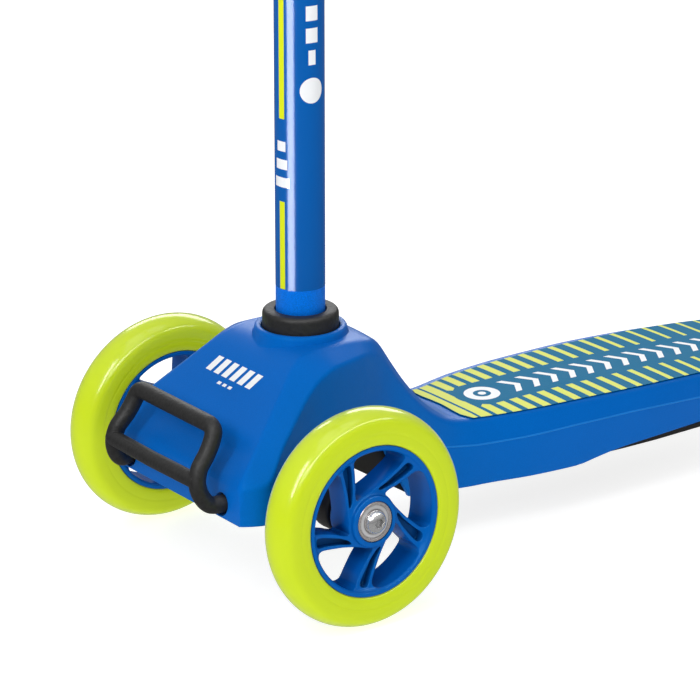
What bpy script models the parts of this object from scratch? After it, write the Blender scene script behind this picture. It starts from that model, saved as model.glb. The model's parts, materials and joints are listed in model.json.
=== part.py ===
"""Child's three-wheel kick scooter with a lean-to-steer front truck, as separate solids.

Metres, +Z up. The scooter faces -Y and its left side is +X. The origin is on the ground, in the
middle of the scooter's length and width. Most places are given from the front axle line, whose
middle is FRONT_AXLE.
"""

import math

import bmesh
import bpy
from mathutils import Matrix, Vector

MM = 0.001
GAP = 0.3 * MM

# Overall size
FRONT_EXTREME = 75.0 * MM  # from the front axle line forward to the bail
REAR_EXTREME = 484.3 * MM  # from the front axle line back to the tail of the brake fender
FRONT_RADIUS = 60 * MM
REAR_RADIUS = 40 * MM
TRACK_HALF = 95.25 * MM  # from the middle of the truck to the middle of a front wheel
CAMBER = math.radians(2.6)  # the tops of the front wheels lean in
WHEELBASE = 438 * MM
FRONT_AXLE = Vector((0, (FRONT_EXTREME - REAR_EXTREME) / 2, FRONT_RADIUS))

# Wheels
FRONT_RIM = 41.7 * MM
FRONT_TYRE_HALF = 11.8 * MM
FRONT_HUB_HALF = 10.8 * MM
REAR_RIM = 26 * MM
REAR_TYRE_HALF = 12 * MM
REAR_HUB_HALF = 11 * MM
BEARING_OUTER = 11 * MM
BEARING_BORE = 4.3 * MM
BEARING_WIDTH = 7 * MM
AXLE_RADIUS = 4 * MM
SPOKES = 5

# Steering column
COLUMN_Y = 27.7 * MM  # behind the front axle line
COLUMN_RADIUS = 13.5 * MM
COLUMN_BORE = 11.5 * MM
COLUMN_FOOT_Z = 92 * MM
COLUMN_TOP_Z = 470 * MM
STEM_RADIUS = 11.1 * MM
HANDLEBAR_Z = 650 * MM
HANDLEBAR_HALF = 130 * MM
GRIP_RADIUS = 15.5 * MM

# Lean pivot of the truck: it rises towards the front
PIVOT_SLOPE = math.radians(32.4)
PIVOT_ABOVE_AXLE = 6.8 * MM
RAMP_ABOVE_PIVOT = 14 * MM

WALL = 3 * MM

# Half sections of the hood and deck moulding in millimetres, from front to back. Each row is
# y, crown z, then (x, z) of the ridge, the side edge, the belt line and the bottom edge.
SHELL_STATIONS = (
    (-57.0, 77.0, 61.5, 76.5, 63.0, 74.5, 63.6, 66.0, 63.6, 57.0),
    (-55.0, 81.5, 61.5, 81.0, 64.8, 78.0, 65.2, 68.0, 65.2, 57.0),
    (-44.0, 91.0, 56.7, 90.8, 69.6, 79.5, 70.2, 68.0, 70.2, 57.0),
    (-28.5, 104.3, 48.3, 104.0, 62.0, 94.0, 63.2, 76.0, 63.5, 57.0),
    (-15.0, 115.7, 41.4, 115.4, 55.4, 104.8, 57.2, 82.0, 58.0, 57.0),
    (-1.5, 127.0, 34.2, 126.6, 49.5, 115.6, 52.0, 88.0, 53.0, 55.0),
    (6.0, 131.0, 31.8, 130.6, 47.6, 121.0, 49.6, 92.0, 50.5, 53.0),
    (18.0, 132.2, 31.2, 131.8, 46.0, 125.6, 47.4, 95.0, 48.2, 50.0),
    (38.0, 132.2, 31.0, 131.6, 41.5, 126.0, 42.6, 92.0, 43.2, 43.0),
    (52.0, 131.2, 29.6, 130.2, 35.6, 123.0, 36.6, 86.0, 37.0, 38.0),
    (62.0, 126.4, 24.4, 125.4, 32.0, 114.4, 32.8, 78.0, 33.0, 35.0),
    (72.0, 113.8, 20.6, 112.8, 31.0, 100.8, 31.4, 71.0, 31.4, 33.0),
    (84.0, 97.0, 19.6, 96.0, 30.8, 87.0, 31.2, 62.0, 31.2, 31.0),
    (98.0, 80.6, 21.6, 79.8, 30.6, 75.0, 31.6, 57.0, 31.4, 29.4),
    (112.0, 70.6, 26.4, 70.2, 31.0, 68.0, 33.2, 54.8, 32.2, 28.8),
    (122.0, 68.1, 29.2, 67.9, 32.2, 66.4, 35.4, 53.9, 34.0, 28.6),
    (130.0, 67.3, 31.2, 67.1, 33.6, 65.8, 36.8, 53.6, 35.0, 28.6),
    (160.0, 67.6, 37.8, 67.4, 40.0, 66.1, 43.2, 54.2, 41.2, 28.6),
    (190.0, 67.6, 41.0, 67.4, 43.4, 66.1, 46.8, 55.2, 44.6, 29.0),
    (220.0, 67.0, 42.8, 66.8, 45.2, 65.5, 48.6, 55.2, 46.6, 32.4),
    (250.0, 66.3, 43.8, 66.1, 46.2, 64.8, 49.4, 54.2, 47.4, 34.2),
    (290.0, 64.6, 43.0, 64.4, 45.4, 63.1, 48.4, 52.0, 46.4, 35.8),
    (340.0, 61.8, 38.6, 61.6, 41.0, 60.3, 43.6, 49.6, 41.8, 36.4),
    (392.0, 58.6, 31.0, 58.4, 33.4, 57.1, 35.4, 47.4, 34.0, 36.8),
)

BLUE = (0.0, 0.115, 0.46, 1)
BRIGHT_BLUE = (0.0, 0.17, 0.72, 1)
HUB_BLUE = (0.0, 0.13, 0.5, 1)
LIME = (0.68, 0.80, 0.03, 1)
BLACK = (0.03, 0.03, 0.032, 1)
STEEL = (0.62, 0.62, 0.64, 1)
TEAL = (0.0, 0.15, 0.35, 1)


# ---------------------------------------------------------------- places, materials and meshes


def at(x, y, z):
    """The point x, y, z millimetres from the middle of the scooter, the front axle and the ground."""
    return Vector((x * MM, FRONT_AXLE.y + y * MM, z * MM))


def clear_scene():
    for obj in list(bpy.data.objects):
        bpy.data.objects.remove(obj)


def paint(name, color, roughness=0.4, metallic=0.0):
    material = bpy.data.materials.new(name)
    material.use_nodes = True
    shader = material.node_tree.nodes["Principled BSDF"]
    shader.inputs["Base Color"].default_value = color
    shader.inputs["Roughness"].default_value = roughness
    shader.inputs["Metallic"].default_value = metallic
    return material


def finish(name, bm, look, origin):
    """Turns bm, drawn in world space, into an object whose origin is at the given point."""
    bmesh.ops.recalc_face_normals(bm, faces=bm.faces)
    bmesh.ops.translate(bm, vec=-origin, verts=bm.verts)
    mesh = bpy.data.meshes.new(name)
    bm.to_mesh(mesh)
    bm.free()
    obj = bpy.data.objects.new(name, mesh)
    obj.location = origin
    bpy.context.scene.collection.objects.link(obj)
    color, roughness, metallic = look
    mesh.materials.append(paint(name, color, roughness, metallic))
    mesh.shade_smooth()
    mesh.set_sharp_from_angle(angle=math.radians(35))
    return obj


def frame_along(direction):
    """Two unit vectors square to the direction."""
    w = direction.normalized()
    side = Vector((0, 0, 1)) if abs(w.z) < 0.9 else Vector((0, 1, 0))
    u = side.cross(w).normalized()
    return u, w.cross(u)


def turned(profile, centre, direction, steps=32, closed=True):
    """Turns (along, radius) points about an axis. An open profile starts and ends on the axis."""
    bm = bmesh.new()
    u, v = frame_along(direction)
    w = direction.normalized()
    rings = []
    for along, radius in profile:
        if radius == 0:
            rings.append([bm.verts.new(centre + w * along)])
            continue
        angles = (2 * math.pi * i / steps for i in range(steps))
        rings.append([
            bm.verts.new(centre + w * along + (u * math.cos(a) + v * math.sin(a)) * radius)
            for a in angles
        ])
    pairs = list(zip(rings, rings[1:]))
    if closed:
        pairs.append((rings[-1], rings[0]))
    for first, second in pairs:
        for i in range(steps):
            j = (i + 1) % steps
            corners = [first[i % len(first)], first[j % len(first)],
                       second[j % len(second)], second[i % len(second)]]
            bm.faces.new(list(dict.fromkeys(corners)))
    return bm


def ring(outer, inner, half, centre, direction, steps=32):
    profile = [(-half, inner), (-half, outer), (half, outer), (half, inner)]
    return turned(profile, centre, direction, steps)


def rod(radius, start, end, steps=24):
    profile = [(0, 0), (0, radius), ((end - start).length, radius), ((end - start).length, 0)]
    return turned(profile, start, end - start, steps, closed=False)


def slab(outline, depth_from, depth_to, place):
    """Extrudes a flat outline. place(a, b, depth) gives the world point of an outline point."""
    bm = bmesh.new()
    near = [bm.verts.new(place(a, b, depth_from)) for a, b in outline]
    far = [bm.verts.new(place(a, b, depth_to)) for a, b in outline]
    bm.faces.new(near)
    bm.faces.new(far)
    for i in range(len(outline)):
        j = (i + 1) % len(outline)
        bm.faces.new([near[i], near[j], far[j], far[i]])
    return bm


def side_slab(outline, x_from, x_to):
    """A side-view outline of (y, z) millimetres, extruded across the scooter."""
    return slab(outline, x_from, x_to, lambda y, z, x: at(x, y, z))


def box(low, high):
    (x0, y0, z0), (x1, y1, z1) = low, high
    return side_slab([(y0, z0), (y1, z0), (y1, z1), (y0, z1)], x0, x1)


def swept(points, radius, sides=12):
    """A round bar along a list of points, with flat ends."""
    bm = bmesh.new()
    tangents = [
        (points[min(i + 1, len(points) - 1)] - points[max(i - 1, 0)]).normalized()
        for i in range(len(points))
    ]
    u, _ = frame_along(tangents[0])
    rings = []
    for point, tangent in zip(points, tangents):
        u = (u - tangent * u.dot(tangent)).normalized()
        v = tangent.cross(u)
        angles = (2 * math.pi * i / sides for i in range(sides))
        rings.append([bm.verts.new(point + (u * math.cos(a) + v * math.sin(a)) * radius)
                      for a in angles])
    for first, second in zip(rings, rings[1:]):
        for i in range(sides):
            j = (i + 1) % sides
            bm.faces.new([first[i], first[j], second[j], second[i]])
    bm.faces.new(rings[0])
    bm.faces.new(rings[-1])
    return bm


def through(points, steps=4):
    """Points on a smooth curve through the given ones."""
    ends = [points[0] * 2 - points[1], *points, points[-1] * 2 - points[-2]]
    found = []
    for a, b, c, d in zip(ends, ends[1:], ends[2:], ends[3:]):
        for i in range(steps):
            t = i / steps
            found.append(((b * 2) + (c - a) * t + (a * 2 - b * 5 + c * 4 - d) * t * t
                          + (b * 3 - a - c * 3 + d) * t ** 3) / 2)
    return found + [points[-1]]


def shape_with(obj, operation, *pieces):
    """Adds Boolean modifiers for helper meshes, which stay hidden."""
    for bm in pieces:
        bmesh.ops.recalc_face_normals(bm, faces=bm.faces)
        mesh = bpy.data.meshes.new("helper")
        bm.to_mesh(mesh)
        bm.free()
        helper = bpy.data.objects.new("helper", mesh)
        bpy.context.scene.collection.objects.link(helper)
        helper.hide_render = True
        helper.display_type = "WIRE"
        modifier = obj.modifiers.new(operation.lower(), "BOOLEAN")
        modifier.operation = operation
        modifier.solver = "EXACT"
        modifier.object = helper


def cut(obj, *pieces):
    shape_with(obj, "DIFFERENCE", *pieces)


def join(obj, *pieces):
    shape_with(obj, "UNION", *pieces)


# ---------------------------------------------------------------- hood and deck


def between_stations(y):
    """The half section at y millimetres, with no overshoot between the stations."""
    rows = SHELL_STATIONS
    i = max(k for k in range(len(rows) - 1) if rows[k][0] <= y or k == 0)
    low, high = rows[i], rows[i + 1]
    span = high[0] - low[0]
    t = (y - low[0]) / span
    values = []
    for column in range(1, len(low)):
        slope = (high[column] - low[column]) / span

        def gentle(k):
            if k <= 0 or k >= len(rows) - 1:
                return slope
            before = (rows[k][column] - rows[k - 1][column]) / (rows[k][0] - rows[k - 1][0])
            after = (rows[k + 1][column] - rows[k][column]) / (rows[k + 1][0] - rows[k][0])
            return 0 if before * after <= 0 else 2 * before * after / (before + after)

        start, end = gentle(i) * span, gentle(i + 1) * span
        rise = high[column] - low[column]
        values.append(low[column] + t * start + t * t * (3 * rise - 2 * start - end)
                      + t ** 3 * (start + end - 2 * rise))
    return values


def shell_section(y, inset):
    """Points (x, z) in millimetres from the crown down the left side, moved in by inset."""
    crown, rx, rz, sx, sz, bx, bz, ex, ez = between_stations(y)
    slant = 0.7 * inset
    bottom = ez - (20 if inset else 0)
    return [
        (rx * 0.5, crown - inset), (rx - slant, rz - inset),
        (rx + (sx - rx) * 0.5 - slant, rz + (sz - rz) * 0.42 - slant),
        (sx - inset, sz - slant), (sx + (bx - sx) * 0.5 - inset, (sz + bz) / 2),
        (bx - inset, bz), (ex - inset, bottom),
    ]


def lofted(sections):
    """Closes a list of (y, half section) rows into one body, mirrored about the middle plane."""
    bm = bmesh.new()
    rings = []
    for y, half in sections:
        outline = half + [(-x, z) for x, z in half[::-1]]
        rings.append([bm.verts.new(at(x, y, z)) for x, z in outline])
    for first, second in zip(rings, rings[1:]):
        for i in range(len(first)):
            j = (i + 1) % len(first)
            bm.faces.new([first[i], first[j], second[j], second[i]])
    bm.faces.new(rings[0])
    bm.faces.new(rings[-1])
    bmesh.ops.triangulate(bm, faces=bm.faces)
    return bm


def shell_ys(start, end):
    """Section places: the stations between the two ends."""
    return [start] + [row[0] for row in SHELL_STATIONS if start + 1 < row[0] < end - 1] + [end]


def make_deck_shell():
    front, back = SHELL_STATIONS[0][0], SHELL_STATIONS[-1][0]
    outer = lofted([(y, shell_section(y, 0)) for y in shell_ys(front, back)])
    shell = finish("deck_shell", outer, (BLUE, 0.35, 0), at(0, 0, 60))
    hollow = lofted([(y, shell_section(y, WALL / MM))
                     for y in shell_ys(front + 3.2, back - 3)])
    cut(shell, hollow)
    arch = [(-43, 20), (-43, 50), (-39, 62), (-26, 79), (-8, 92), (14, 97), (36, 93),
            (52, 80), (62, 62), (73, 43), (79.5, 33), (84, 20)]
    cut(shell, side_slab(arch, -90, 90))
    boss = turned(
        [(-7.6 * MM, 0), (-7.6 * MM, 29.6 * MM), (-2.5 * MM, 28.6 * MM), (1 * MM, 26 * MM),
         (3.2 * MM, 24.6 * MM), (4 * MM, 23 * MM), (3.8 * MM, 19 * MM), (3.8 * MM, 0)],
        at(0, COLUMN_Y / MM, 132), Vector((0, 0, 1)), 30, closed=False)
    join(shell, boss)
    bore = rod(21.8 * MM, at(0, COLUMN_Y / MM, 118), at(0, COLUMN_Y / MM, 140), 28)
    cut(shell, bore)
    cut(shell, box((-22, 380, 10), (22, 400, 53)))
    for side in (-1, 1):
        cut(shell, rod(6.3 * MM, at(45 * side, -70, 64.3), at(45 * side, -40, 64.3), 16))
        cut(shell, box((45 * side - 6, -60, 64), (45 * side + 6, -50, 69)))


def deck_strip(ys, lift, thickness, inset):
    """Half sections of a thin sheet that follows the deck's top between its edges."""
    rows = []
    for y in ys:
        crown, rx = between_stations(y)[:2]
        rows.append((y, rx - inset, crown + lift, crown + lift + thickness))
    return rows


def make_grip_mat():
    """Printed grip sheet. It stops short of the deck's edge and has round front corners."""
    ys = [124, 127, 131, 145, 160, 175, 190, 220, 250, 270, 290, 315, 340, 384]
    bm = bmesh.new()
    rings = []
    for y, half, low, high in deck_strip(ys, 0.35, 0.9, 0.6):
        half -= max(0, 131 - y) * 1.1
        rings.append([bm.verts.new(at(x, y, z)) for x, z in
                      ((-half, low), (-half, high), (half, high), (half, low))])
    for first, second in zip(rings, rings[1:]):
        for i in range(4):
            j = (i + 1) % 4
            bm.faces.new([first[i], first[j], second[j], second[i]])
    bm.faces.new(rings[0])
    bm.faces.new(rings[-1])
    finish("deck_grip_mat", bm, (TEAL, 0.5, 0), at(0, 200, 67))


TRAY_SCREWS = ((-24, 130), (24, 130), (-30, 330), (30, 330))


def make_tray():
    """Tray that closes the deck from below, between its walls."""
    rows = [(y, between_stations(y)) for y in (86, 100, 115, 140, 170, 200, 225, 250, 290, 340, 384)]
    bm = bmesh.new()
    rings = []
    for y, row in rows:
        half = row[7] - WALL / MM - 0.9
        low = 31 + max(0, y - 290) * 0.03
        rings.append([bm.verts.new(at(x, y, z)) for x, z in
                      ((-half, low), (-half, low + 3), (half, low + 3), (half, low))])
    for first, second in zip(rings, rings[1:]):
        for i in range(4):
            j = (i + 1) % 4
            bm.faces.new([first[i], first[j], second[j], second[i]])
    bm.faces.new(rings[0])
    bm.faces.new(rings[-1])
    tray = finish("underside_tray", bm, (BLACK, 0.5, 0), at(0, 200, 31))
    for number, (x, y) in enumerate(TRAY_SCREWS, 1):
        low = 31 + max(0, y - 290) * 0.03
        cut(tray, rod(2.3 * MM, at(x, y, low - 5), at(x, y, low + 8), 12))
        screw = turned(
            [(0, 0), (0, 2.4 * MM), (1.4 * MM, 3.9 * MM), (2.2 * MM, 3.9 * MM),
             (2.2 * MM, 1.9 * MM), (12 * MM, 1.9 * MM), (12 * MM, 0)],
            at(x, y, low - 2.5), Vector((0, 0, 1)), 12, closed=False)
        finish(f"tray_screw_{number}", screw, (STEEL, 0.3, 1), at(x, y, low))


# ---------------------------------------------------------------- truck


def pivot_point(x, along, above):
    """A point x across, then so far forward along the pivot and above it, in millimetres."""
    centre = at(0, 0, FRONT_RADIUS / MM + PIVOT_ABOVE_AXLE / MM)
    forward = Vector((0, -math.cos(PIVOT_SLOPE), math.sin(PIVOT_SLOPE)))
    up = Vector((0, math.sin(PIVOT_SLOPE), math.cos(PIVOT_SLOPE)))
    return centre + Vector((x * MM, 0, 0)) + forward * (along * MM) + up * (above * MM)


def lug(along_from, along_to):
    """Round-ended block around the pivot, reaching up into the ramp plate."""
    outline = [(12, 16)] + [
        (12 * math.cos(a), 12 * math.sin(a))
        for a in (-math.pi * i / 10 for i in range(11))
    ] + [(-12, 16)]
    return slab(outline, along_from, along_to, lambda x, z, d: pivot_point(x, d, z))


def ramp_line(y, above=0):
    """Height of the truck base's underside at y."""
    rise = RAMP_ABOVE_PIVOT / MM / math.cos(PIVOT_SLOPE)
    return FRONT_RADIUS / MM + PIVOT_ABOVE_AXLE / MM + rise + above - math.tan(PIVOT_SLOPE) * y


def make_truck_base():
    """Black housing under the hood: ramp plate, two cheeks, column socket and pivot lugs."""
    plate = side_slab([(80, ramp_line(80, -4)), (80, ramp_line(80, 8)), (-17, ramp_line(-17, 8)),
                       (-17, ramp_line(-17, -4))], -27.4, 27.4)
    base = finish("truck_base", plate, (BLACK, 0.45, 0), at(0, 0, 80))
    cheek = [(80, ramp_line(80, 2)), (-17, ramp_line(-17, 2)), (-17, 106), (-10, 112), (-2, 116),
             (54, 117), (62, 108), (72, 94), (81, 81), (84, 60), (84, 40)]
    join(base, side_slab(cheek, -27.4, -22.4), side_slab(cheek, 22.4, 27.4))
    column = COLUMN_Y / MM
    join(base, rod(19 * MM, at(0, column, 60), at(0, column, 127), 24))
    join(base, box((-23, 23.5, 60), (23, 31.5, 108)))
    cut(base, side_slab([(100, ramp_line(100)), (-40, ramp_line(-40)), (-40, 10), (100, 10)], -40, 40))
    join(base, lug(-44.5, -35.2), lug(13.2, 22.5))
    foot = COLUMN_FOOT_Z / MM - 0.5
    cut(base, rod(COLUMN_RADIUS + 0.5 * MM, at(0, column, foot), at(0, column, 135), 24))
    cut(base, rod(4.4 * MM, pivot_point(0, -60, 0), pivot_point(0, 40, 0), 14))
    cut(base, box((-7, -30, 95.8), (7, 16, 99.7)))


def make_pivot_bolt():
    centre, forward = pivot_point(0, -52, 0), pivot_point(0, 1, 0) - pivot_point(0, 0, 0)
    bolt = turned(
        [(0, 0), (0, 5 * MM), (2 * MM, 7.2 * MM), (6.5 * MM, 7.2 * MM), (6.5 * MM, 4 * MM),
         (80 * MM, 4 * MM), (80 * MM, 0)], centre, forward, 16, closed=False)
    finish("pivot_bolt", bolt, (STEEL, 0.25, 1), pivot_point(0, 0, 0))
    nut = ring(7.4 * MM, 5 * MM, 2.8 * MM, pivot_point(0, 25.7, 0), forward, 6)
    finish("pivot_nut", nut, (STEEL, 0.3, 1), pivot_point(0, 0, 0))


def wheel_axis(side):
    """Centre of a front wheel and the outward direction of its axle."""
    centre = at(TRACK_HALF / MM * side, 0, FRONT_RADIUS / MM)
    return centre, Vector((math.cos(CAMBER) * side, 0, math.sin(CAMBER)))


def make_truck_hanger():
    """Axle beam with the pivot sleeve, two spring seats and a threaded end for each axle bolt."""
    beam = turned(
        [(-71 * MM, 0), (-71 * MM, 10.5 * MM), (-50 * MM, 9.2 * MM), (0, 10.6 * MM), (50 * MM, 9.2 * MM),
         (71 * MM, 10.5 * MM), (71 * MM, 0)],
        at(0, 0, 58.9), Vector((1, 0, 0)), 16, closed=False)
    hanger = finish("truck_hanger", beam, (BLACK, 0.45, 0), pivot_point(0, 0, 0))
    join(hanger, rod(11.4 * MM, pivot_point(0, -34.9, 0), pivot_point(0, 12.9, 0), 22))
    for side in (-1, 1):
        centre, out = wheel_axis(side)
        end = turned(
            [(-31 * MM, 0), (-31 * MM, 11 * MM), (-28 * MM, 13.2 * MM), (-14.6 * MM, 13.2 * MM),
             (-14.6 * MM, 6.2 * MM), (-11.1 * MM, 5.8 * MM), (-11.1 * MM, 0)],
            centre, out, 18, closed=False)
        join(hanger, end)
        join(hanger, rod(8 * MM, pivot_point(22 * side, -3.6, -9), pivot_point(22 * side, -3.6, 3), 14))
        cut(hanger, rod(4.3 * MM, centre - out * (41 * MM), centre, 14))
    cut(hanger, rod(4.5 * MM, pivot_point(0, -60, 0), pivot_point(0, 40, 0), 14))


def make_centring_springs():
    for side, name in ((1, "left"), (-1, "right")):
        low, high = pivot_point(22 * side, -3.6, 4.2), pivot_point(22 * side, -3.6, 13.6)
        spring = turned(
            [(0, 0), (0, 5.4 * MM), (2 * MM, 6 * MM), (7.4 * MM, 6 * MM), (9.4 * MM, 5.4 * MM),
             (9.4 * MM, 0)], low, high - low, 14, closed=False)
        finish(f"centring_spring_{name}", spring, (LIME, 0.5, 0), low)


# ---------------------------------------------------------------- wheels


def tyre_profile(radius, rim, half):
    """Round crown, short shoulders and flat side walls, as (along, radius) points."""
    crown = 15 * MM
    shoulder = []
    for degrees in (0, 20):
        a = math.radians(degrees)
        shoulder.append((crown * math.sin(a), radius - crown * (1 - math.cos(a))))
    edge = radius - 9.2 * MM
    shoulder += [(half * 0.93, radius - 5 * MM), (half, edge), (half * 0.93, rim)]
    left = [(-along, r) for along, r in shoulder[:0:-1]]
    return left + shoulder


def make_bearing(name, centre, direction):
    bearing = ring(BEARING_OUTER, BEARING_BORE, BEARING_WIDTH / 2, centre, direction, 20)
    finish(name, bearing, (STEEL, 0.25, 1), centre)


def spoke_angle(radius):
    """Sweep of a spoke's middle line: it leaves the hub aslant and meets the rim square."""
    return math.radians(43.5 + 21.5 * ((38 - radius) / 22) ** 2)


def along_spoke(radii, half_widths, turn):
    """Outline around a swept spoke, as (y, z) millimetres in the wheel's plane."""
    sides = [[], []]
    for radius, half in zip(radii, half_widths):
        for side, sign in zip(sides, (1, -1)):
            angle = spoke_angle(radius) + turn + sign * half / radius
            side.append((radius * math.cos(angle), radius * math.sin(angle)))
    return sides[0] + sides[1][::-1]


def make_front_hub(name, side):
    """Barrel and boss joined by five swept spokes. Each spoke has a slot sunk in its outer face."""
    centre, out = wheel_axis(side)
    back = Vector((0, side, 0))
    up = out.cross(back) * side * side

    def place(a, b, depth):
        return centre + back * (a * MM) + up * (b * MM) + out * (depth * MM)

    half = FRONT_HUB_HALF
    outer = FRONT_RIM - GAP
    barrel = turned(
        [(-half, outer - 2.6 * MM), (-half, outer), (half, outer), (half, outer - 2.6 * MM),
         (0, outer - 4.4 * MM)], centre, out, 32)
    hub = finish(name, barrel, (HUB_BLUE, 0.25, 0), centre)
    boss = turned([(-half, 0), (-half, 14 * MM), (half, 14 * MM), (half, 0)], centre, out, 22,
                  closed=False)
    turns = [2 * math.pi * i / SPOKES for i in range(SPOKES)]
    spoke = ((12.5, 18, 26, 38.4), (5.6, 3.9, 4.2, 5.3))
    slot = ((17.8, 25, 35.8), (1.3, 2.0, 2.7))
    join(hub, boss, *(slab(along_spoke(*spoke, turn), -7.8, 7.8, place) for turn in turns))
    for turn in turns:
        cut(hub, slab(along_spoke(*slot, turn), 2.2, 12, place))
    seat, neck = BEARING_OUTER + GAP, 9 * MM
    seat_depth = half - BEARING_WIDTH - GAP
    cut(hub, turned(
        [(-half - 2 * MM, 0), (-half - 2 * MM, seat), (-seat_depth, seat), (-seat_depth, neck),
         (seat_depth, neck), (seat_depth, seat), (half + 2 * MM, seat), (half + 2 * MM, 0)],
        centre, out, 22, closed=False))


def axle_bolt(name, centre, direction, head_at, length):
    """Button-head bolt whose head sits on the outside and whose shank runs inward."""
    start = centre + direction * head_at
    profile = [(3.6 * MM, 0), (3.3 * MM, 3 * MM), (2.2 * MM, 5.4 * MM), (0, 6.6 * MM),
               (0, AXLE_RADIUS), (-length, AXLE_RADIUS), (-length, 0)]
    bolt = turned(profile, start, direction, 16, closed=False)
    finish(name, bolt, (STEEL, 0.15, 1), start)


def make_front_wheel(name, side):
    centre, out = wheel_axis(side)
    tyre = turned(tyre_profile(FRONT_RADIUS, FRONT_RIM, FRONT_TYRE_HALF), centre, out, 32)
    finish(f"{name}_tyre", tyre, (LIME, 0.25, 0), centre)
    make_front_hub(f"{name}_hub", side)
    seat = FRONT_HUB_HALF - BEARING_WIDTH / 2 - GAP / 2
    make_bearing(f"{name}_bearing_outer", centre + out * seat, out)
    make_bearing(f"{name}_bearing_inner", centre - out * seat, out)
    gap_half = seat - BEARING_WIDTH / 2 - GAP
    spacer = ring(6 * MM, BEARING_BORE, gap_half, centre, out, 16)
    finish(f"{name}_bearing_spacer", spacer, (STEEL, 0.3, 1), centre)
    axle_bolt(f"{name}_axle_bolt", centre, out, FRONT_HUB_HALF + 0.2 * MM, 49 * MM)


def rear_centre():
    return at(0, WHEELBASE / MM, REAR_RADIUS / MM)


def make_rear_wheel():
    centre, across = rear_centre(), Vector((1, 0, 0))
    tyre = turned(tyre_profile(REAR_RADIUS, REAR_RIM, REAR_TYRE_HALF), centre, across, 28)
    finish("rear_tyre", tyre, (LIME, 0.25, 0), centre)
    half, outer, seat = REAR_HUB_HALF, REAR_RIM - GAP, BEARING_OUTER + GAP
    seat_depth = half - BEARING_WIDTH - GAP
    profile = [
        (-half, seat), (-half, 14 * MM), (-3 * MM, 15 * MM), (-3 * MM, 22 * MM), (-half, 23 * MM),
        (-half, outer), (half, outer), (half, 23 * MM), (3 * MM, 22 * MM), (3 * MM, 15 * MM),
        (half, 14 * MM), (half, seat), (seat_depth, seat), (seat_depth, 9 * MM),
        (-seat_depth, 9 * MM), (-seat_depth, seat)]
    hub = finish("rear_hub", turned(profile, centre, across, 22), (HUB_BLUE, 0.25, 0), centre)
    for i in range(SPOKES):
        angle = 2 * math.pi * (i + 0.25) / SPOKES
        spot = centre + Vector((0, math.cos(angle), math.sin(angle))) * (18.5 * MM)
        cut(hub, rod(2.9 * MM, spot - across * (8 * MM), spot + across * (8 * MM), 8))
    bearing_at = half - BEARING_WIDTH / 2 - GAP / 2
    make_bearing("rear_bearing_left", centre + across * bearing_at, across)
    make_bearing("rear_bearing_right", centre - across * bearing_at, across)
    gap_half = bearing_at - BEARING_WIDTH / 2 - GAP
    spacer = ring(6 * MM, BEARING_BORE, gap_half, centre, across, 16)
    finish("rear_bearing_spacer", spacer, (STEEL, 0.3, 1), centre)
    axle_bolt("rear_axle_bolt", centre, across, 20.4 * MM, 46.5 * MM)
    nut = ring(7.2 * MM, 5 * MM, 2.6 * MM, centre - across * (23.2 * MM), across, 6)
    finish("rear_axle_nut", nut, (STEEL, 0.3, 1), centre)


def make_rear_fork():
    """Plate under the deck's end with an arm on each side of the rear wheel."""
    plate = finish("rear_fork", box((-20, 352, 37.4), (20, 390, 42.4)), (BLACK, 0.45, 0), rear_centre())
    arm = [(352, 37.4), (352, 47), (389, 49), (393, 52), (393.2, 64.5), (396, 67.8), (401, 67.8),
           (404.6, 63), (410, 56), (432, 51), (444, 49), (450, 42), (448, 34), (440, 29), (428, 30),
           (396, 37.4)]
    join(plate, side_slab(arm, 15.6, 20), side_slab(arm, -20, -15.6))
    for side in (-1, 1):
        washer = rod(7 * MM, rear_centre() + Vector((11.4 * MM * side, 0, 0)),
                     rear_centre() + Vector((17 * MM * side, 0, 0)), 20)
        join(plate, washer)
    cut(plate, rod(4.3 * MM, rear_centre() - Vector((30 * MM, 0, 0)),
                   rear_centre() + Vector((30 * MM, 0, 0)), 20))
    cut(plate, rod(2.8 * MM, at(-30, *BRAKE_PIN), at(30, *BRAKE_PIN), 16))


BRAKE_PIN = (398.5, 63)
PAD_ANGLE = math.radians(60)
PAD_REACH = 43.4


def pad_point(reach):
    """End of the brake plate, on the line that lies reach from the rear axle."""
    along = (REAR_EXTREME / MM - WHEELBASE / MM - reach * math.cos(PAD_ANGLE)) / math.sin(PAD_ANGLE)
    return REAR_EXTREME / MM, REAR_RADIUS / MM + reach * math.sin(PAD_ANGLE) - along * math.cos(PAD_ANGLE)


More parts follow.
